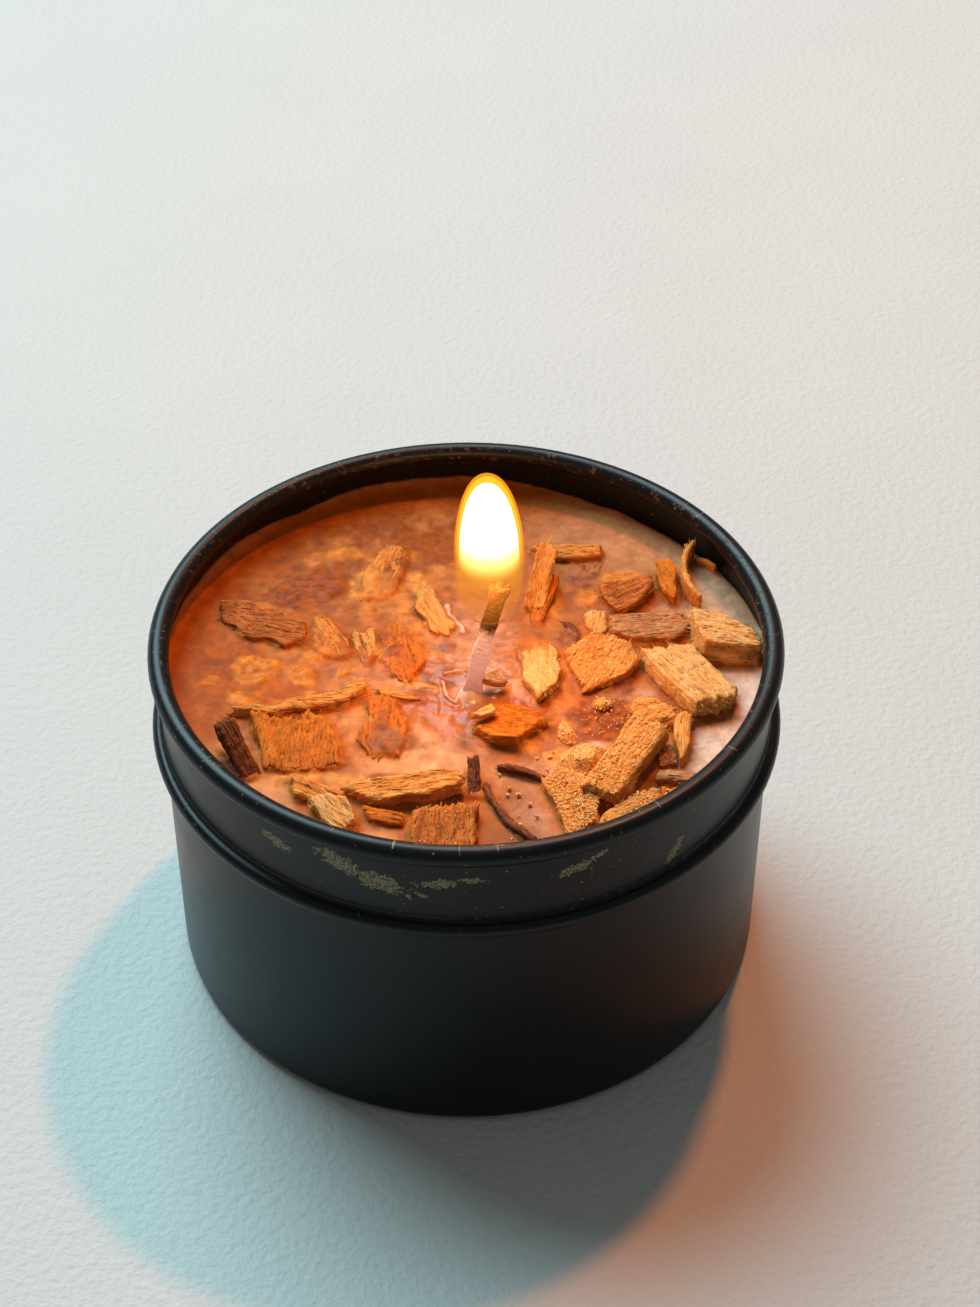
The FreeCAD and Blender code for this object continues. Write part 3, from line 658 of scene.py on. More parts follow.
def normals_of(points, faces):
    """Unit normals at the points of a mesh."""
    mesh = new_mesh("normals_scratch", points, faces)
    found = np.empty(len(mesh.vertices) * 3)
    mesh.vertices.foreach_get("normal", found)
    bpy.data.meshes.remove(mesh)
    return found.reshape(-1, 3)


def carve_wood(node, look, order, material):
    """Turns a plain CAD chip into split wood: ragged ends, raised fibres, cracks and curled edges."""
    _, heading, ragged, curl, cover = look
    points, faces = remeshed(node)
    along, across, normal = wood_frame(points, heading)
    middle = points.mean(0)
    local = (points - middle) @ np.array([along, across, normal]).T
    half = np.abs(local).max(0) + 1e-6
    shift = np.array([order * 13.7, order * 5.3, order * 3.1])
    seed = 100 + order

    # Ends: whole bundles of fibres broken off at different lengths.
    near_end = smooth(0.45, 1.0, np.abs(local[:, 0]) / half[0])
    bundles = noise(local * (0.0, 1.15, 1.4) + shift, seed)
    threads = noise(local * (0.15, 3.6, 3.6) + shift, seed + 1)
    pull = ragged * (bundles + 0.6 * threads) - 0.25 * ragged
    moved = local.copy()
    moved[:, 0] += np.sign(local[:, 0]) * near_end * pull
    moved[:, 1] += UNEVEN_MM * noise(local * 0.42 + shift, seed + 7) * min(1.0, half[1] / 2.0)

    # Sides and faces: long ridges along the grain, with a few deeper cracks.
    facing = normals_of(points, faces) @ np.array([along, across, normal]).T
    ridges = fractal(local * (0.30, 2.9, 2.9) + shift, seed + 2, 2)
    rolls = noise(local * (0.16, 1.0, 1.0) + shift, seed + 6)
    cracks = smooth(0.84, 0.98, 1.0 - np.abs(noise(local * (0.12, 1.2, 0.6) + shift, seed + 3)))
    fluff = noise(local * 3.4 + shift, seed + 4)
    thin = min(1.0, half[2] / THIN_MM)
    offset = SWELL_MM * thin + FIBRE_MM * thin * (ridges + 1.2 * rolls + 0.55 * fluff - 1.8 * cracks)
    side = 1.0 - 0.5 * np.abs(facing[:, 0])
    moved += facing * (offset * side)[:, None]

    # Edges curl up a little, as thin wood does when it dries.
    moved[:, 2] += curl * ((local[:, 1] / half[1]) ** 2 - 0.3)

    points = middle + moved @ np.array([along, across, normal])
    points[:, 2] -= SUNK_DROP_MM * smooth(0.55, 0.75, cover)
    points, faces, grain = with_splinters(points, faces, moved + shift, along, order)
    points = kept_inside(points)
    mesh = new_mesh(node + "_wood", points, faces)
    set_vectors(mesh, "grain", grain)
    above = points[:, 2] - WAX_LEVEL
    patchy = fractal(points * 0.8 + shift, seed + 5, 3)
    soak = cover + (1.0 - smooth(0.0, 1.3, above)) * 0.75 + patchy * 0.35 * (0.25 + cover)
    soak = np.clip(soak, 0.0, 1.0)
    set_floats(mesh, "soak", soak)
    return add_piece(node + "_wood", mesh, material, (node,))


NEEDLE_CORNERS = np.array([(-1, -1, -1), (-1, 1, -1), (-1, 1, 1), (-1, -1, 1),
                           (1, -0.4, -0.3), (1, 0.4, -0.3), (1, 0.4, 0.5), (1, -0.4, 0.5)]) / 2
NEEDLE_FACES = [(0, 3, 2, 1), (4, 5, 6, 7), (0, 1, 5, 4), (1, 2, 6, 5), (2, 3, 7, 6), (3, 0, 4, 7)]


def with_splinters(points, faces, grain, along, order):
    """Adds loose splinters that lie along the grain on the part of the wood above the wax."""
    draw = np.random.default_rng(900 + order)
    shown = np.flatnonzero(points[:, 2] > WAX_LEVEL)
    count = int(SPLINTERS_PER_MM2 * VOXEL_MM ** 2 * len(shown))
    if count == 0:
        return points, faces, grain
    roots = draw.choice(shown, count)
    out = normals_of(points, faces)[roots]
    heading = along + draw.normal(0.0, 0.10, (count, 3)) + out * draw.normal(0.02, 0.04, (count, 1))
    heading /= np.linalg.norm(heading, axis=1)[:, None]
    heading *= draw.choice((-1.0, 1.0), (count, 1))
    sideways = np.cross(out, heading)
    sideways /= np.linalg.norm(sideways, axis=1)[:, None] + 1e-9
    size = draw.uniform((0.5, 0.06, 0.03), (1.9, 0.15, 0.08), (count, 3))
    corners = NEEDLE_CORNERS[None, :, :] * size[:, None, :]
    needles = (points[roots][:, None, :] + corners[:, :, :1] * heading[:, None, :]
               + corners[:, :, 1:2] * sideways[:, None, :] + (corners[:, :, 2:] + 0.02) * out[:, None, :])
    tone_shift = draw.normal(0.0, 0.8, (count, 1, 3))
    needle_grain = grain[roots][:, None, :] + corners * 0.6 + tone_shift
    starts = len(points) + len(NEEDLE_CORNERS) * np.arange(count)
    new_faces = [tuple(start + corner for corner in face) for start in starts for face in NEEDLE_FACES]
    return (np.concatenate([points, needles.reshape(-1, 3)]), list(faces) + new_faces,
            np.concatenate([grain, needle_grain.reshape(-1, 3)]))


def kept_inside(points):
    """Points pulled in so that nothing pokes through the tin's wall."""
    reach = np.hypot(points[:, 0], points[:, 1])
    share = np.minimum(1.0, (WALL_RADIUS - 0.1) / np.maximum(reach, 1e-6))
    points = points.copy()
    points[:, :2] *= share[:, None]
    return points


def make_wood():
    """Every piece of wood, each in place of its own CAD node."""
    materials = {name: wood_material("wood_" + name, *tones) for name, tones in WOOD_TONES.items()}
    for order, (node, look) in enumerate(WOOD.items()):
        carve_wood(node, look, order, materials[look[0]])


# ---- wax

CLIMB = [  # how far the wax stands above its level at the wall, by heading in degrees
    (-180, 1.0), (-165, 0.8), (-140, 0.5), (-100, 0.35), (-60, 0.3), (-25, 0.25), (-5, 0.3), (8, 0.5),
    (15, -0.05), (27, -0.35), (40, -0.45), (51, -0.4), (61, -0.35), (77, 0.2), (90, 1.1), (103, 0.95),
    (114, 1.3), (126, 0.5), (139, 1.45), (155, 1.2), (180, 1.0),
]
WAX_ZONES = [  # x, y, reach and colour: how the wax's colour drifts from zone to zone, from orange to pinkish white, with a few small dark spots
    (-31, 4, 9, (0.44, 0.100, 0.006)), (-27, 15, 7, (0.36, 0.085, 0.008)),
    (-14, 27, 12, (0.30, 0.070, 0.004)), (-22, 7, 6, (0.36, 0.090, 0.010)),
    (6, 32, 9, (0.30, 0.078, 0.010)), (20, 26, 7, (0.52, 0.25, 0.12)), (31, 14, 6, (0.50, 0.32, 0.21)),
    (32, -8, 9, (0.76, 0.60, 0.52)), (24, -21, 6, (0.68, 0.46, 0.34)), (14, 14, 7, (0.34, 0.12, 0.035)),
    (1, 4, 5, (0.44, 0.20, 0.11)), (-4, -20, 6, (0.66, 0.34, 0.17)), (-18, -24, 7, (0.70, 0.30, 0.12)),
    (-16, 6, 6, (0.42, 0.15, 0.045)), (3, -26, 4, (0.24, 0.06, 0.014)), (9, -26, 4, (0.52, 0.27, 0.17)),
    (14, -2, 7, (0.40, 0.12, 0.022)), (-4, -7, 4, (0.38, 0.11, 0.03)), (2, -14, 4, (0.24, 0.055, 0.010)),
    (22, 5, 5, (0.46, 0.22, 0.12)), (-10, 0, 5, (0.42, 0.18, 0.085)), (-14, -15, 5, (0.56, 0.22, 0.07)),
    (13, 5, 4, (0.27, 0.09, 0.02)), (-9, 12, 6, (0.42, 0.15, 0.045)), (8, -10, 3, (0.30, 0.07, 0.006)),
    (14, 25, 5, (0.50, 0.22, 0.10)),
]
SUNK_COLOURS = {"straw": (0.78, 0.40, 0.10), "honey": (0.72, 0.31, 0.06), "orange": (0.60, 0.20, 0.028),
                "rust": (0.30, 0.075, 0.016), "umber": (0.28, 0.10, 0.045), "bark": (0.10, 0.03, 0.012)}
GHOSTS = [  # fragments too deep to stand up: x, y, half length, half width, heading in degrees, tone
    (-17.0, 21.5, 4.5, 1.6, 12, "orange"), (-4.8, 2.2, 2.6, 0.9, -40, "orange"),
    (-2.6, 3.2, 1.3, 0.9, 20, "umber"), (-9.8, -20.0, 2.6, 1.2, 5, "umber"),
    (-31.5, -2.6, 1.5, 1.0, 30, "orange"), (-12.0, 9.8, 2.2, 1.4, 60, "orange"),
    (-21.5, 14.6, 3.2, 1.2, 25, "orange"), (-6.6, -3.6, 3.2, 0.6, -14, "honey"),
    (-20.6, -5.9, 3.0, 1.0, 20, "orange"), (-14.6, -20.2, 2.4, 1.0, 160, "honey"),
    (9.4, 0.2, 1.6, 4.2, 0, "orange"), (13.6, -8.4, 2.6, 1.6, 30, "rust"),
    (18.5, -4.6, 2.8, 1.6, 40, "umber"), (15.4, 12.6, 2.2, 1.5, 60, "orange"),
    (12.6, 5.0, 2.2, 2.0, 0, "umber"), (20.2, 17.4, 3.0, 1.4, 0, "orange"),
    (7.2, -4.4, 1.4, 2.8, 15, "orange"), (21.8, -13.6, 2.4, 1.6, 50, "orange"),
    (-25.2, 7.6, 2.6, 1.6, -20, "rust"), (-9.6, -10.2, 2.2, 1.4, 70, "rust"),
    (-8.8, 2.6, 1.6, 1.2, 80, "rust"), (6.6, -14.8, 2.6, 1.2, -30, "orange"),
    (-2.0, -23.8, 1.8, 0.9, 0, "umber"), (11.0, -16.6, 2.0, 1.6, 30, "honey"),
    (-18.6, 2.4, 2.6, 1.5, 15, "orange"), (-24.4, 0.4, 2.0, 1.4, -20, "orange"),
    (-14.6, -0.6, 2.2, 1.2, 35, "orange"), (-13.2, 15.6, 3.4, 2.0, 70, "honey"),
    (-26.8, 11.4, 3.4, 1.0, -22, "orange"), (-6.2, 15.8, 1.6, 2.6, 10, "honey"),
    (-9.4, -13.8, 3.4, 2.2, 20, "umber"), (10.2, 12.4, 1.8, 3.0, 20, "straw"),
    (17.2, 9.4, 3.0, 1.5, 12, "umber"), (14.8, -11.8, 3.6, 2.0, 35, "umber"),
    (23.4, 0.8, 2.6, 1.3, -20, "honey"), (-19.8, -20.0, 3.6, 1.2, 12, "honey"),
]
RIDGES = [  # thin crests of wax set again near the wick, paler set wax with a painted glint on them: a path of points, and half the ridge's width
    ([(-3.0, -3.0), (-2.6, -5.6), (-1.4, -7.2), (-0.4, -5.0)], 0.34),
    ([(-2.4, -1.6), (-1.2, -1.0), (-0.4, -1.4)], 0.26),
    ([(-2.4, 11.4), (-1.8, 9.4), (-0.9, 7.4), (-0.7, 6.2)], 0.38),
    ([(2.6, -1.2), (3.8, -0.6)], 0.22),
]
RIDGE_MM = 0.32  # how high the crests stand
WAX_CELLS = 380  # points across the surface each way
WICK_MOUND_MM = 1.1  # how far the wax climbs the wick
FLOOR_CLEAR_MM = 0.6  # the body's flat underside stays this far above the CAD wax's lowest point


def disc_points(cells, radius):
    """A square grid of points spread evenly over a disc."""
    steps = np.linspace(-1.0, 1.0, cells)
    u, v = np.meshgrid(steps, steps)
    wide = np.abs(u) > np.abs(v)
    safe_u = np.where(np.abs(u) < 1e-12, 1e-12, u)
    safe_v = np.where(np.abs(v) < 1e-12, 1e-12, v)
    reach = np.where(wide, u, v)
    angle = np.where(wide, math.pi / 4 * v / safe_u, math.pi / 2 - math.pi / 4 * u / safe_v)
    x = radius * reach * np.cos(angle)
    y = radius * reach * np.sin(angle)
    return x.ravel(), y.ravel()


def path_distance(x, y, path):
    """How far each point is from a path of straight steps."""
    nearest = np.full(len(x), 1e9)
    for (ax, ay), (bx, by) in zip(path, path[1:]):
        length = (bx - ax) ** 2 + (by - ay) ** 2
        share = np.clip(((x - ax) * (bx - ax) + (y - ay) * (by - ay)) / length, 0.0, 1.0)
        nearest = np.minimum(nearest, np.hypot(x - ax - share * (bx - ax), y - ay - share * (by - ay)))
    return nearest


def wax_tint(x, y, flat):
    """The wax's colour at each point, blended between its zones."""
    total = np.zeros((len(x), 3))
    weight = np.zeros(len(x))
    drift_x = x + 3.0 * fractal(flat * 0.12, 51, 3)
    drift_y = y + 3.0 * fractal(flat * 0.12, 52, 3)
    for zone_x, zone_y, reach, colour in WAX_ZONES:
        share = np.exp(-((drift_x - zone_x) ** 2 + (drift_y - zone_y) ** 2) / reach ** 2) + 1e-6
        total += share[:, None] * np.array(colour)
        weight += share
    return total / weight[:, None]


def blend(first, second, share):
    """Two colours mixed point by point."""
    return first + (np.asarray(second) - first) * np.clip(share, 0.0, 1.0)[:, None]


def ghost_share(x, y, ghost):
    """How strongly a sunk fragment shows at each point."""
    ghost_x, ghost_y, half_length, half_width, heading, _ = ghost
    angle = math.radians(heading)
    along = (x - ghost_x) * math.cos(angle) + (y - ghost_y) * math.sin(angle)
    across = (y - ghost_y) * math.cos(angle) - (x - ghost_x) * math.sin(angle)
    return 1.0 - smooth(0.55, 1.25, np.hypot(along / half_length, across / half_width))


def make_wax():
    """One closed body of wax: a fine surface with menisci, a film over the sunk chips, and plain sides."""
    area = SurfaceMap()
    open_top = area.empty()
    sunk_maps = {}
    for node, look in WOOD.items():
        if look[4] > SUNK_COVER:
            target = sunk_maps.setdefault(look[0], area.empty())
        else:
            target = open_top
        area.stamp(target, node_triangles(node), WAX_LEVEL - 0.2)
    open_mask = (open_top > WAX_LEVEL).astype(float)
    near = area.blur(open_mask, 0.40)
    wide = area.blur(open_mask, 1.5)

    x, y = disc_points(WAX_CELLS, WALL_RADIUS)
    flat = np.stack([x, y, np.zeros_like(x)], 1)
    ragged_x = x + 0.75 * fractal(flat * 0.55, 61, 4)
    ragged_y = y + 0.75 * fractal(flat * 0.55, 62, 4)
    reach = np.hypot(x, y)
    heading = np.degrees(np.arctan2(y, x))
    wobble = fractal(np.stack([heading * 0.16, np.zeros_like(x), np.ones_like(x)], 1), 5, 3)
    climb = np.interp(heading, *zip(*CLIMB)) + 0.28 * wobble
    from_wall = WALL_RADIUS - reach
    wall = climb * np.exp(-from_wall / 0.55)
    right_dip = -0.35 * smooth(0.45, 0.95, reach / WALL_RADIUS) * smooth(25.0, 45.0, heading) * (
        1.0 - smooth(65.0, 85.0, heading))

    # Colour: the zones' colour, stained round the wood, with the sunk wood showing through.
    tint = wax_tint(x, y, flat)
    patchy = fractal(flat * 0.45, 63, 4)
    stain = area.sample(wide, ragged_x, ragged_y)
    tint = blend(tint, (0.42, 0.115, 0.014), 0.95 * smooth(0.03, 0.42, stain + 0.12 * patchy))
    murky = smooth(20.0, 4.0, x + 0.4 * y) * smooth(-24.0, -12.0, y) * smooth(37.0, 28.0, reach)
    ragged = np.stack([ragged_x, ragged_y, np.zeros_like(x)], 1)
    pale_spots = smooth(0.10, 0.45, fractal(ragged * 0.17, 66, 5))
    tint = blend(tint, (0.64, 0.25, 0.055), 0.50 * pale_spots * murky)
    dark_spots = smooth(0.14, 0.45, fractal(ragged * 0.21, 65, 5))
    tint = blend(tint, (0.17, 0.040, 0.008), 0.55 * dark_spots * murky)
    sunk_here = np.zeros(len(x))
    for ghost in GHOSTS:
        share = ghost_share(ragged_x, ragged_y, ghost) * (0.75 + 0.4 * patchy)
        tint = blend(tint, SUNK_COLOURS[ghost[5]], share)
        sunk_here = np.maximum(sunk_here, 0.8 * share)
    for tone, top in sunk_maps.items():
        share = area.sample(area.blur((top > WAX_LEVEL - 0.2).astype(float), 0.5), ragged_x, ragged_y)
        tint = blend(tint, SUNK_COLOURS[tone], smooth(0.15, 0.9, share + 0.4 * patchy))
        sunk_here = np.maximum(sunk_here, share)
    grainy = fractal(flat * 1.3, 64, 3)
    tint *= (1.0 + np.maximum(sunk_here, 0.6 * murky) * 0.6 * grainy)[:, None]
    climbed = smooth(0.15, 0.9, wall) * (1 - smooth(0.2, 1.2, from_wall))
    tint = blend(tint, (0.24, 0.085, 0.032), 0.7 * climbed)

    # Height: gentle waves, menisci at the wall and the wood, a film over the sunk wood, and set crests.
    wick_x, wick_y = wick_at(WAX_LEVEL)
    from_wick = np.hypot(x - wick_x, y - wick_y)
    height = WAX_LEVEL + 0.10 * fractal(flat * 0.11, 7, 2) + 0.03 * fractal(flat * 0.5, 8, 2)
    height += wall + right_dip + 0.10 * murky * fractal(flat * 0.7, 10, 3)
    height += 0.42 * smooth(0.03, 0.75, area.sample(near, ragged_x, ragged_y))
    height += (0.18 + 0.30 * fractal(flat * 0.8, 9, 3)) * smooth(0.1, 0.9, sunk_here)
    height += WICK_MOUND_MM * np.exp(-(from_wick / 1.15) ** 2)
    crest_and_glint = np.zeros(len(x))
    for path, half_width in RIDGES:
        away = path_distance(ragged_x, ragged_y, path)
        crest_and_glint = np.maximum(crest_and_glint, np.exp(-(away / half_width) ** 2))
    height += RIDGE_MM * crest_and_glint
    # Paler set wax on the crests, with a painted glint: part of the pinkish white stands in for light
    # caught on their edges.
    tint = blend(tint, (0.90, 0.66, 0.60), smooth(0.3, 1.0, crest_and_glint * (0.75 + 0.6 * patchy)))
    tint = blend(tint, (0.86, 0.66, 0.58), np.exp(-(from_wick / 1.5) ** 2))

    count = WAX_CELLS
    points = np.stack([x, y, height], 1)
    faces = grid_faces(count, count)
    edge = ([i for i in range(count)] + [row * count + count - 1 for row in range(1, count)]
            + [(count - 1) * count + i for i in range(count - 2, -1, -1)]
            + [row * count for row in range(count - 2, 0, -1)])
    floor_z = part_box("wax_fill")[0].z / MM + FLOOR_CLEAR_MM
    skirt_start = len(points)
    skirt = points[edge].copy()
    skirt[:, 2] = floor_z
    points = np.concatenate([points, skirt])
    for i in range(len(edge)):
        after = (i + 1) % len(edge)
        faces.append((edge[after], edge[i], skirt_start + i, skirt_start + after))
    faces.append(tuple(range(skirt_start + len(edge) - 1, skirt_start - 1, -1)))
    mesh = new_mesh("wax_surface", points, faces)

    set_vectors(mesh, "tint", np.concatenate([np.clip(tint, 0.002, 1.0), tint[edge]]))
    litter_right = smooth(1.0, 8.0, x) * smooth(-6.0, -16.0, y)
    litter_left = smooth(-20.0, -26.0, x) * smooth(-4.0, -12.0, y)
    litter = litter_right + 0.4 * litter_left
    wet = np.clip(1.2 * np.exp(-(from_wick / 8.0) ** 2) + 0.35 * crest_and_glint, 0.0, 1.0)
    set_floats(mesh, "litter", np.concatenate([np.clip(litter, 0.0, 1.0), litter[edge]]))
    set_floats(mesh, "wet", np.concatenate([wet, wet[edge]]))
    add_piece("wax_surface", mesh, wax_material(), ("wax_fill",))


# ---- wick, flame

def wick_route():
    """The middle of the CAD braid at each of its levels, in millimetres."""
    points = node_mm("wick")
    levels = np.unique(np.round(points[:, 2], 2))
    return np.array([points[np.abs(points[:, 2] - level) < 0.02].mean(0) for level in levels])


def wick_at(height):
    """Where the wick's middle is at a height."""
    route = wick_route()
    return np.interp(height, route[:, 2], route[:, 0]), np.interp(height, route[:, 2], route[:, 1])


def eased_route(route, count):
    """Evenly spaced points on a smooth curve through the route."""
    curve = bpy.data.curves.new("wick_route", "CURVE")
    curve.dimensions = "3D"
    spline = curve.splines.new("NURBS")
    spline.points.add(len(route) - 1)
    for point, spot in zip(spline.points, route):
        point.co = (*spot, 1.0)
    spline.order_u = 4
    spline.use_endpoint_u = True
    spline.resolution_u = 24
    holder = bpy.data.objects.new("wick_route", curve)
    bpy.context.scene.collection.objects.link(holder)
    line = bpy.data.meshes.new_from_object(holder.evaluated_get(bpy.context.evaluated_depsgraph_get()))
    path = np.array([vertex.co[:] for vertex in line.vertices])
    bpy.data.objects.remove(holder)
    bpy.data.curves.remove(curve)
    bpy.data.meshes.remove(line)
    gone = np.concatenate([[0.0], np.cumsum(np.linalg.norm(np.diff(path, axis=0), axis=1))])
    even = np.linspace(0.0, gone[-1], count)
    return np.stack([np.interp(even, gone, path[:, axis]) for axis in range(3)], 1), even


WICK_RINGS = 420
WICK_SIDES = 40
WICK_TURN = math.radians(-14.0)  # the way the braid's flat side faces


def make_wick():
    """The flat braid: plaited strands, a waxy sheath above the pool, and a charred, frayed tip."""
    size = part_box("wick")
    path, gone = eased_route(wick_route(), WICK_RINGS)
    surface_at = np.interp(WAX_LEVEL, path[:, 2], gone)
    share = (gone - surface_at) / (gone[-1] - surface_at)
    tangent = np.gradient(path, axis=0)
    tangent /= np.linalg.norm(tangent, axis=1)[:, None]
    flat_way = np.array([math.cos(WICK_TURN), math.sin(WICK_TURN), 0.0])
    side = flat_way - tangent * (tangent @ flat_way)[:, None]
    side /= np.linalg.norm(side, axis=1)[:, None]
    face = np.cross(tangent, side)

    angles = np.linspace(0.0, math.tau, WICK_SIDES, endpoint=False)
    cosine, sine = np.cos(angles), np.sin(angles)
    across = np.sign(cosine) * np.abs(cosine) ** 0.75
    through = np.sign(sine) * np.abs(sine) ** 0.75
    half_width = 1.02 - 0.06 * smooth(0.35, 0.6, share) + 0.30 * smooth(0.88, 1.0, share)
    half_width += 0.26 * (1 - smooth(0.0, 0.16, share)) * smooth(-0.1, 0.0, share)
    bulge_low = np.exp(-((share - 0.36) / 0.08) ** 2)
    pinch_high = np.exp(-((share - 0.52) / 0.05) ** 2)
    half_width += 0.14 * bulge_low - 0.10 * pinch_high
    half_depth = 0.52 - 0.08 * smooth(0.4, 0.6, share) + 0.08 * smooth(0.92, 1.0, share)

    s = np.repeat(gone[:, None], WICK_SIDES, 1)
    u = np.repeat(across[None, :], WICK_RINGS, 0)
    w = np.repeat(through[None, :], WICK_RINGS, 0)
    at = np.repeat(share[:, None], WICK_SIDES, 1)
    plait = np.sin(math.tau * (s / 1.3 + u * 0.5)) * np.sin(math.tau * (s / 1.3 - u * 0.5))
    samples = np.stack([s.ravel() * 1.6, u.ravel() * 2.0, w.ravel() * 2.0], 1)
    rough = fractal(samples * 1.2, 21, 3).reshape(s.shape)
    burnt = smooth(0.56, 0.68, at)
    bulge = 0.055 * plait * (0.5 + 0.7 * burnt) + rough * (0.05 + 0.12 * burnt)
    points = (path[:, None, :]
              + side[:, None, :] * (u * half_width[:, None] * (1 + bulge))[:, :, None]
              + face[:, None, :] * (w * half_depth[:, None] * (1 + 2.0 * bulge))[:, :, None])
    frayed_at = np.stack([np.zeros(u.size), u.ravel() * 2.6, w.ravel() * 1.3], 1)
    fray = fractal(frayed_at, 23, 2).reshape(s.shape)
    points += tangent[:, None, :] * (0.9 * fray * smooth(0.93, 1.0, at))[:, :, None]
    points[:, :, 2] = np.minimum(points[:, :, 2], size[1].z / MM + 0.5)
    points = points.reshape(-1, 3)
    faces = grid_faces(WICK_RINGS, WICK_SIDES, closed_columns=True)
    middle_low, middle_high = len(points), len(points) + 1
    points = np.concatenate([points, [path[0], path[-1] - tangent[-1] * 0.35]])
    last = (WICK_RINGS - 1) * WICK_SIDES
    for i in range(WICK_SIDES):
        after = (i + 1) % WICK_SIDES
        faces.append((middle_low, after, i))
        faces.append((middle_high, last + i, last + after))
    mesh = new_mesh("wick_braid", points, faces)
    set_floats(mesh, "burnt", np.concatenate([at.ravel(), [0.0, 1.0]]))
    add_piece("wick_braid", mesh, wick_material(), ("wick",))


def widths(triangles, middle, levels):
    """How far triangles reach from a vertical line where level planes cut their sides."""
    starts = np.concatenate([triangles[:, i] for i in range(3)])
    ends = np.concatenate([triangles[:, (i + 1) % 3] for i in range(3)])
    found = []
    for level in levels:
        crossing = (starts[:, 2] - level) * (ends[:, 2] - level) < 0.0
        a, b = starts[crossing], ends[crossing]
        share = ((level - a[:, 2]) / (b[:, 2] - a[:, 2]))[:, None]
        cut = a + share * (b - a)
        found.append(np.hypot(cut[:, 0] - middle[0], cut[:, 1] - middle[1]).mean())
    return np.array(found)


FLAME_WIDTH = 0.95  # the visible gas is a little slimmer and lower than the CAD drop that holds it
FLAME_HEIGHT = 0.97
FLAME_LEAN_MM = -0.3  # how far the tip is drawn sideways
FLAME_RINGS = 120
FLAME_SIDES = 96
# Each layer's name, share of the width, share of the height, brightest strength, then its colours and its
# opacity by height. The outer layers let most of the white core show through.
FLAME_LAYERS = (
    ("flame_skin", 1.00, 1.00, 1.5,
     ((0.0, (1.0, 0.22, 0.01)), (0.45, (1.0, 0.27, 0.01)), (1.0, (1.0, 0.34, 0.01))),
     ((0.0, 0.0), (0.12, 0.12), (0.40, 0.14), (0.56, 0.38), (1.0, 0.42))),
    ("flame_mantle", 0.94, 0.98, 1.7,
     ((0.15, (1.0, 0.28, 0.02)), (0.50, (1.0, 0.52, 0.03)), (1.0, (1.0, 0.64, 0.04))),
     ((0.06, 0.0), (0.20, 0.14), (0.40, 0.16), (0.54, 0.44), (1.0, 0.46))),
    ("flame_core", 0.86, 0.94, 5.0,
     ((0.30, (1.0, 0.36, 0.04)), (0.44, (1.0, 0.62, 0.08)), (0.54, (1.0, 0.92, 0.40)),
      (0.62, (1.0, 1.0, 1.0))),
     ((0.22, 0.0), (0.40, 0.14), (0.50, 0.85), (0.58, 1.0))),
)


def make_flame():
    """The drop of glowing gas as nested layers, its tip drawn a little to the left."""
    low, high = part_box("flame")
    middle = np.array([(low.x + high.x) / 2, (low.y + high.y) / 2]) / MM
    base, top = low.z / MM, high.z / MM
    share = (1.0 - np.cos(np.linspace(0.0, math.pi, FLAME_RINGS))) / 2.0
    inner = np.clip(base + (top - base) * share, base + 0.02, top - 0.02)
    wide = widths(node_triangles("flame"), middle, inner) * FLAME_WIDTH
    wide[[0, -1]] = 0.0
    angles = np.linspace(0.0, math.tau, FLAME_SIDES, endpoint=False)
    faces = grid_faces(FLAME_RINGS, FLAME_SIDES, closed_columns=True)
    for name, slim, tall, brightest, colours, opacity in FLAME_LAYERS:
        points = []
        for up, radius in zip(share, wide * slim):
            lean = FLAME_LEAN_MM * up ** 3
            height = base + (top - base) * FLAME_HEIGHT * tall * up
            points.append(np.stack([middle[0] + lean + radius * np.cos(angles),
                                    middle[1] + radius * np.sin(angles), np.full(FLAME_SIDES, height)], 1))
        mesh = new_mesh(name, np.concatenate(points), faces)
        shaped = bmesh.new()
        shaped.from_mesh(mesh)
        bmesh.ops.remove_doubles(shaped, verts=shaped.verts, dist=1e-6)
        shaped.to_mesh(mesh)
        shaped.free()
        material = flame_material(name + "_gas", low.z, high.z, brightest, colours, opacity)
        piece = add_piece(name, mesh, material, ("flame",))
        piece.visible_shadow = False
        piece.visible_diffuse = False


# ---- sawdust

def scatter(draw, triangles, count):
    """Random spots on triangles, with their normals, spread evenly by area."""
    cross = np.cross(triangles[:, 1] - triangles[:, 0], triangles[:, 2] - triangles[:, 0])
    size = np.linalg.norm(cross, axis=1)
    chosen = draw.choice(len(triangles), count, p=size / size.sum())
    a, b = draw.random(count), draw.random(count)
    over = a + b > 1
    a[over], b[over] = 1 - a[over], 1 - b[over]
    corners = triangles[chosen]
    spots = (corners[:, 0] + a[:, None] * (corners[:, 1] - corners[:, 0])
             + b[:, None] * (corners[:, 2] - corners[:, 0]))
    return spots, cross[chosen] / np.maximum(size[chosen], 1e-9)[:, None]


GRAIN_CORNERS = np.array([(-1, -1, -1), (1, -0.7, -1), (0.8, 1, -0.8), (-0.9, 0.8, -1),
                          (-0.8, -0.9, 0.9), (0.9, -0.6, 0.7), (0.7, 0.9, 1), (-1, 0.7, 0.8)]) / 2
GRAIN_FACES = [(3, 2, 1, 0), (4, 5, 6, 7), (0, 1, 5, 4), (1, 2, 6, 5), (2, 3, 7, 6), (3, 0, 4, 7)]


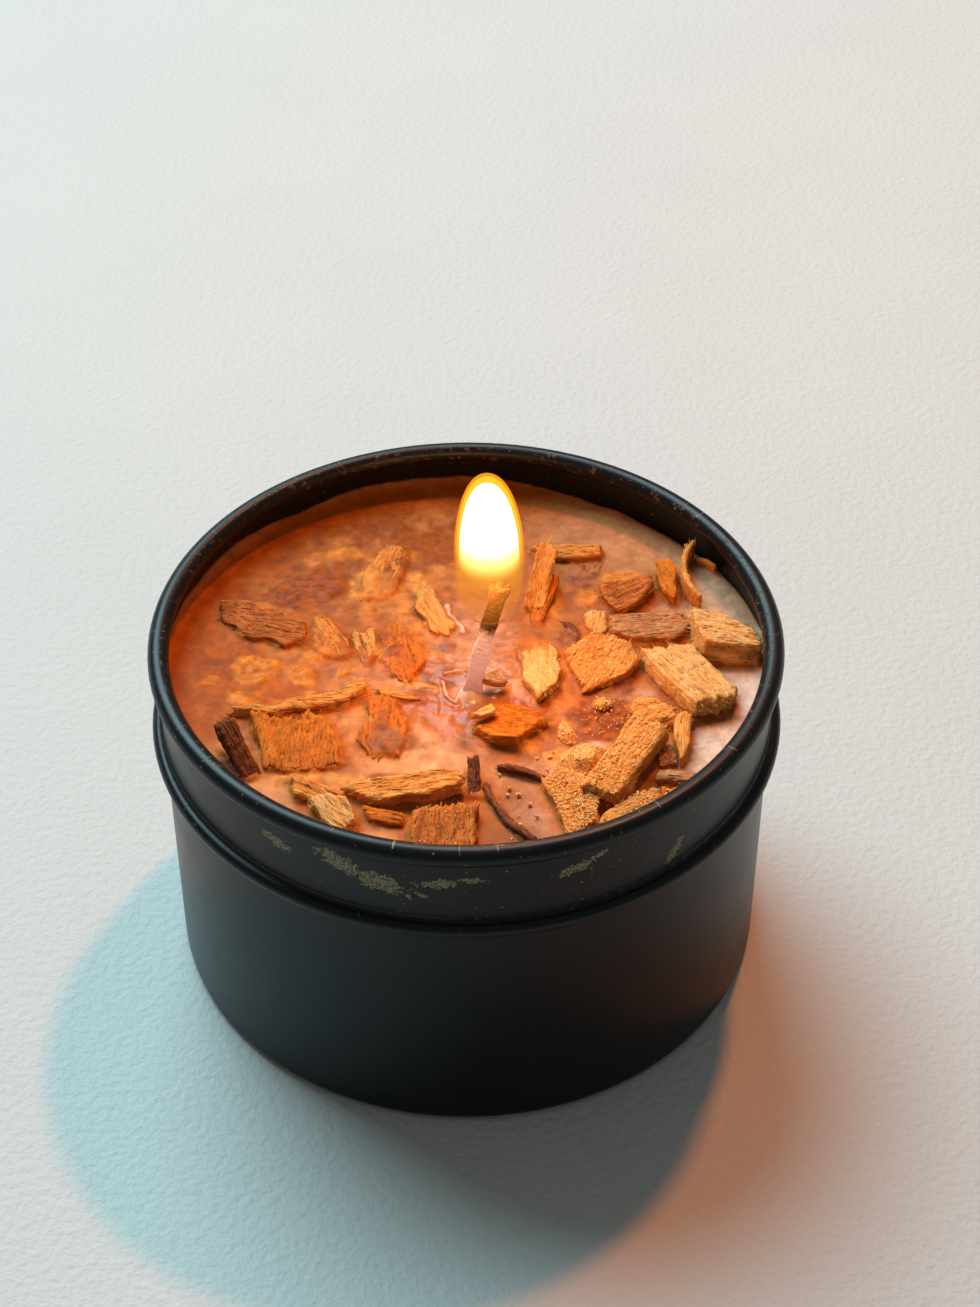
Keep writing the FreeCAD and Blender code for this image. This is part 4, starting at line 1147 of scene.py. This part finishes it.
def grains(draw, spots, normals, length):
    """Small splinters lying loosely on their spots, as points, faces and one tone for each point."""
    points, faces, tones = [], [], []
    for spot, normal in zip(spots, normals):
        size = np.array([draw.uniform(0.6, 1.5), draw.uniform(0.28, 0.55), draw.uniform(0.2, 0.4)]) * length
        turn = draw.normal(size=3)
        along = np.cross(normal, turn)
        along /= np.linalg.norm(along) + 1e-9
        along += normal * draw.normal(0.0, 0.35)
        along /= np.linalg.norm(along)
        across = np.cross(normal, along)
        across /= np.linalg.norm(across) + 1e-9
        up = np.cross(along, across)
        jitter = 1.0 + draw.uniform(-0.25, 0.25, GRAIN_CORNERS.shape)
        shape = (GRAIN_CORNERS * jitter * size) @ np.array([along, across, up])
        start = len(points) * len(GRAIN_CORNERS)
        points.append(spot + normal * size[2] * 0.3 + shape)
        faces += [tuple(start + corner for corner in face) for face in GRAIN_FACES]
        tones.append(np.full(len(GRAIN_CORNERS), draw.random()))
    return np.concatenate(points), faces, np.concatenate(tones)


def add_grains(name, draw, triangles, count, length, material, replaced, extra=None, lift=0.0):
    """A mesh of loose grains over the upward triangles, with an optional body under them."""
    spots, normals = scatter(draw, triangles, count)
    spots = spots + lift * normals
    points, faces, tones = grains(draw, spots, normals, length)
    points = kept_inside(points)
    if extra is not None:
        body_points, body_faces = extra
        start = len(points)
        points = np.concatenate([points, body_points])
        faces += [tuple(start + corner for corner in face) for face in body_faces]
        tones = np.concatenate([tones, 0.60 + 0.3 * noise(body_points * 2.2, 41)])
    mesh = new_mesh(name, points, faces)
    mesh.polygons.foreach_set("use_smooth", [False] * len(mesh.polygons))
    set_floats(mesh, "tone", np.clip(tones, 0.0, 1.0))
    return add_piece(name, mesh, material, replaced)


def upward(node, least=0.15, above=WAX_LEVEL):
    """A node's triangles that face up and are above a height."""
    triangles = node_triangles(node)
    cross = np.cross(triangles[:, 1] - triangles[:, 0], triangles[:, 2] - triangles[:, 0])
    up = cross[:, 2] / np.maximum(np.linalg.norm(cross, axis=1), 1e-9)
    return triangles[(up > least) & (triangles[:, :, 2].mean(1) > above)]


def lumpy(node, amount, seed):
    """A CAD heap rebuilt with a crumbly surface."""
    points, faces = remeshed(node)
    facing = normals_of(points, faces)
    offset = amount * (fractal(points * 0.9, seed, 3) + 0.6 * noise(points * 2.6, seed + 1))
    return points + facing * offset[:, None], faces


SAWDUST = (  # node, piece, grains, grain length, lumpiness of the body under them, its seed, lift (mm)
    ("sawdust_heap", "sawdust_heap_grains", 2600, 0.34, 0.22, 31, 0.14),
    ("sawdust_clumps", "sawdust_clump_grains", 520, 0.30, 0.16, 33, 0.10),
    ("sawdust_crumbs", "sawdust_crumb_grains", 60, 0.34, 0.03, 35, 0.0),
)
DUSTED = {  # how many grains lie loose on each piece of wood
    "stick_powdered": 520, "chip_wide_front": 800, "chip_fibrous_front": 380, "chip_brown_right": 60,
    "chip_umber_right": 60, "chip_cream_right": 40, "chip_orange_rim": 40, "chip_amber_right": 420,
    "chip_leaf_middle": 20, "chip_ribbed_front": 30,
}
DUST_MM = 0.25  # the length of a grain of loose dust
DUST_STEEPEST = 0.3  # loose dust stays where a surface faces up at least this much
DUST_CLEAR_MM = 0.3  # and is at least this far above the wax


def make_sawdust():
    """The heap, clumps and crumbs with their grains, and loose dust on some of the wood."""
    draw = np.random.default_rng(5)
    material = sawdust_material()
    for node, name, count, length, amount, seed, lift in SAWDUST:
        body = lumpy(node, amount, seed)
        add_grains(name, draw, upward(node), count, length, material, (node,), body, lift)
    for node, count in DUSTED.items():
        triangles = upward(node, DUST_STEEPEST, WAX_LEVEL + DUST_CLEAR_MM)
        add_grains("dust_on_" + node, draw, triangles, count, DUST_MM, material, (), lift=SWELL_MM + 0.03)


# ---- tin, lights, view

def dress_tin():
    """The tin, the wick's foot and its sticker keep their CAD shapes and get their materials."""
    for node, material in (("tin_body", tin_material()), ("wick_foot", plate_material()),
                           ("wick_sticker", sticker_material())):
        mesh = NODES[node].data
        mesh.materials.clear()
        mesh.materials.append(material)


def add_lamp(name, kind, place, power, colour):
    """A light at a place in metres, with its power in watts."""
    data = bpy.data.lights.new(name, kind)
    data.energy = power
    data.color = colour
    lamp = bpy.data.objects.new(name, data)
    lamp.location = place
    bpy.context.scene.collection.objects.link(lamp)
    return lamp


def add_area(name, place, target, size, power, colour):
    """A soft round light aimed at a point."""
    lamp = add_lamp(name, "AREA", place, power, colour)
    lamp.data.shape = "DISK"
    lamp.data.size = size
    lamp.rotation_euler = (Vector(target) - Vector(place)).to_track_quat("-Z", "Y").to_euler()


def add_point(name, place, radius, power, colour):
    """A small round light that shines all ways."""
    lamp = add_lamp(name, "POINT", place, power, colour)
    lamp.data.shadow_soft_size = radius


AREA_LIGHTS = (  # name, place, target and size in metres, power in watts, colour
    ("window", (-0.60, 1.12, 1.52), (0.0, 0.0, 0.0), 1.44, 47.0, (0.60, 0.92, 1.0)),
    ("lamp", (0.130, 0.285, 0.580), (0.0, 0.0, 0.03), 0.040, 1.85, (1.0, 0.29, 0.06)),
)
ROOM_COLOUR = (0.93, 1.0, 0.96, 1.0)
ROOM_STRENGTH = 0.165
FLAME_COLOUR = (1.0, 0.42, 0.10)
FLAME_POWER = 0.0095  # W, from each of the flame's three lights
FLAME_RADIUS_MM = 3.2
TABLE_CORNERS_MM = [(-3000, -3000, 0), (3000, -3000, 0), (3000, 3000, 0), (-3000, 3000, 0)]


def make_stage():
    """A plain pale table, the room's soft light, a window, a warm lamp, and the flame's own light."""
    table = bpy.data.objects.new("table", new_mesh("table", TABLE_CORNERS_MM, [(0, 1, 2, 3)]))
    table.data.materials.append(table_material())
    bpy.context.scene.collection.objects.link(table)

    world = bpy.data.worlds.new("soft_room")
    bpy.context.scene.world = world
    world.use_nodes = True
    room = world.node_tree.nodes["Background"].inputs
    room["Color"].default_value = ROOM_COLOUR
    room["Strength"].default_value = ROOM_STRENGTH

    for settings in AREA_LIGHTS:
        add_area(*settings)
    low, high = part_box("flame")
    heart = Vector(((low.x + high.x) / 2, (low.y + high.y) / 2, low.z + 0.5 * (high.z - low.z)))
    for step in (-1, 0, 1):
        spot = heart + Vector((0.0, 0.0, step * 0.25 * (high.z - low.z)))
        add_point(f"flame_light_{step + 1}", spot, FLAME_RADIUS_MM * MM, FLAME_POWER, FLAME_COLOUR)


CAMERA_PLACE = (0.0, -0.2340, 0.2489)  # m
CAMERA_DOWN = 41.236  # degrees below level
CAMERA_TURN = -0.715  # degrees
SENSOR_MM = 36.0
LENS_MM = 69.3


def make_camera():
    """The view from the front, above the rim, at the distance a hand-held phone would have."""
    data = bpy.data.cameras.new("camera")
    data.sensor_width = SENSOR_MM
    data.lens = LENS_MM
    camera = bpy.data.objects.new("camera", data)
    camera.location = CAMERA_PLACE
    camera.rotation_euler = (math.radians(90.0 - CAMERA_DOWN), 0.0, math.radians(CAMERA_TURN))
    bpy.context.scene.collection.objects.link(camera)
    bpy.context.scene.camera = camera


def set_view():
    """A plain display transform, so that the paint and wax colours come out as they are set."""
    view = bpy.context.scene.view_settings
    view.view_transform = "Standard"
    view.look = "None"
    view.exposure = 0.0
    view.gamma = 1.0


make_camera()
make_stage()
set_view()
dress_tin()
make_wood()
make_wax()
make_wick()
make_flame()
make_sawdust()

bpy.context.view_layer.update()
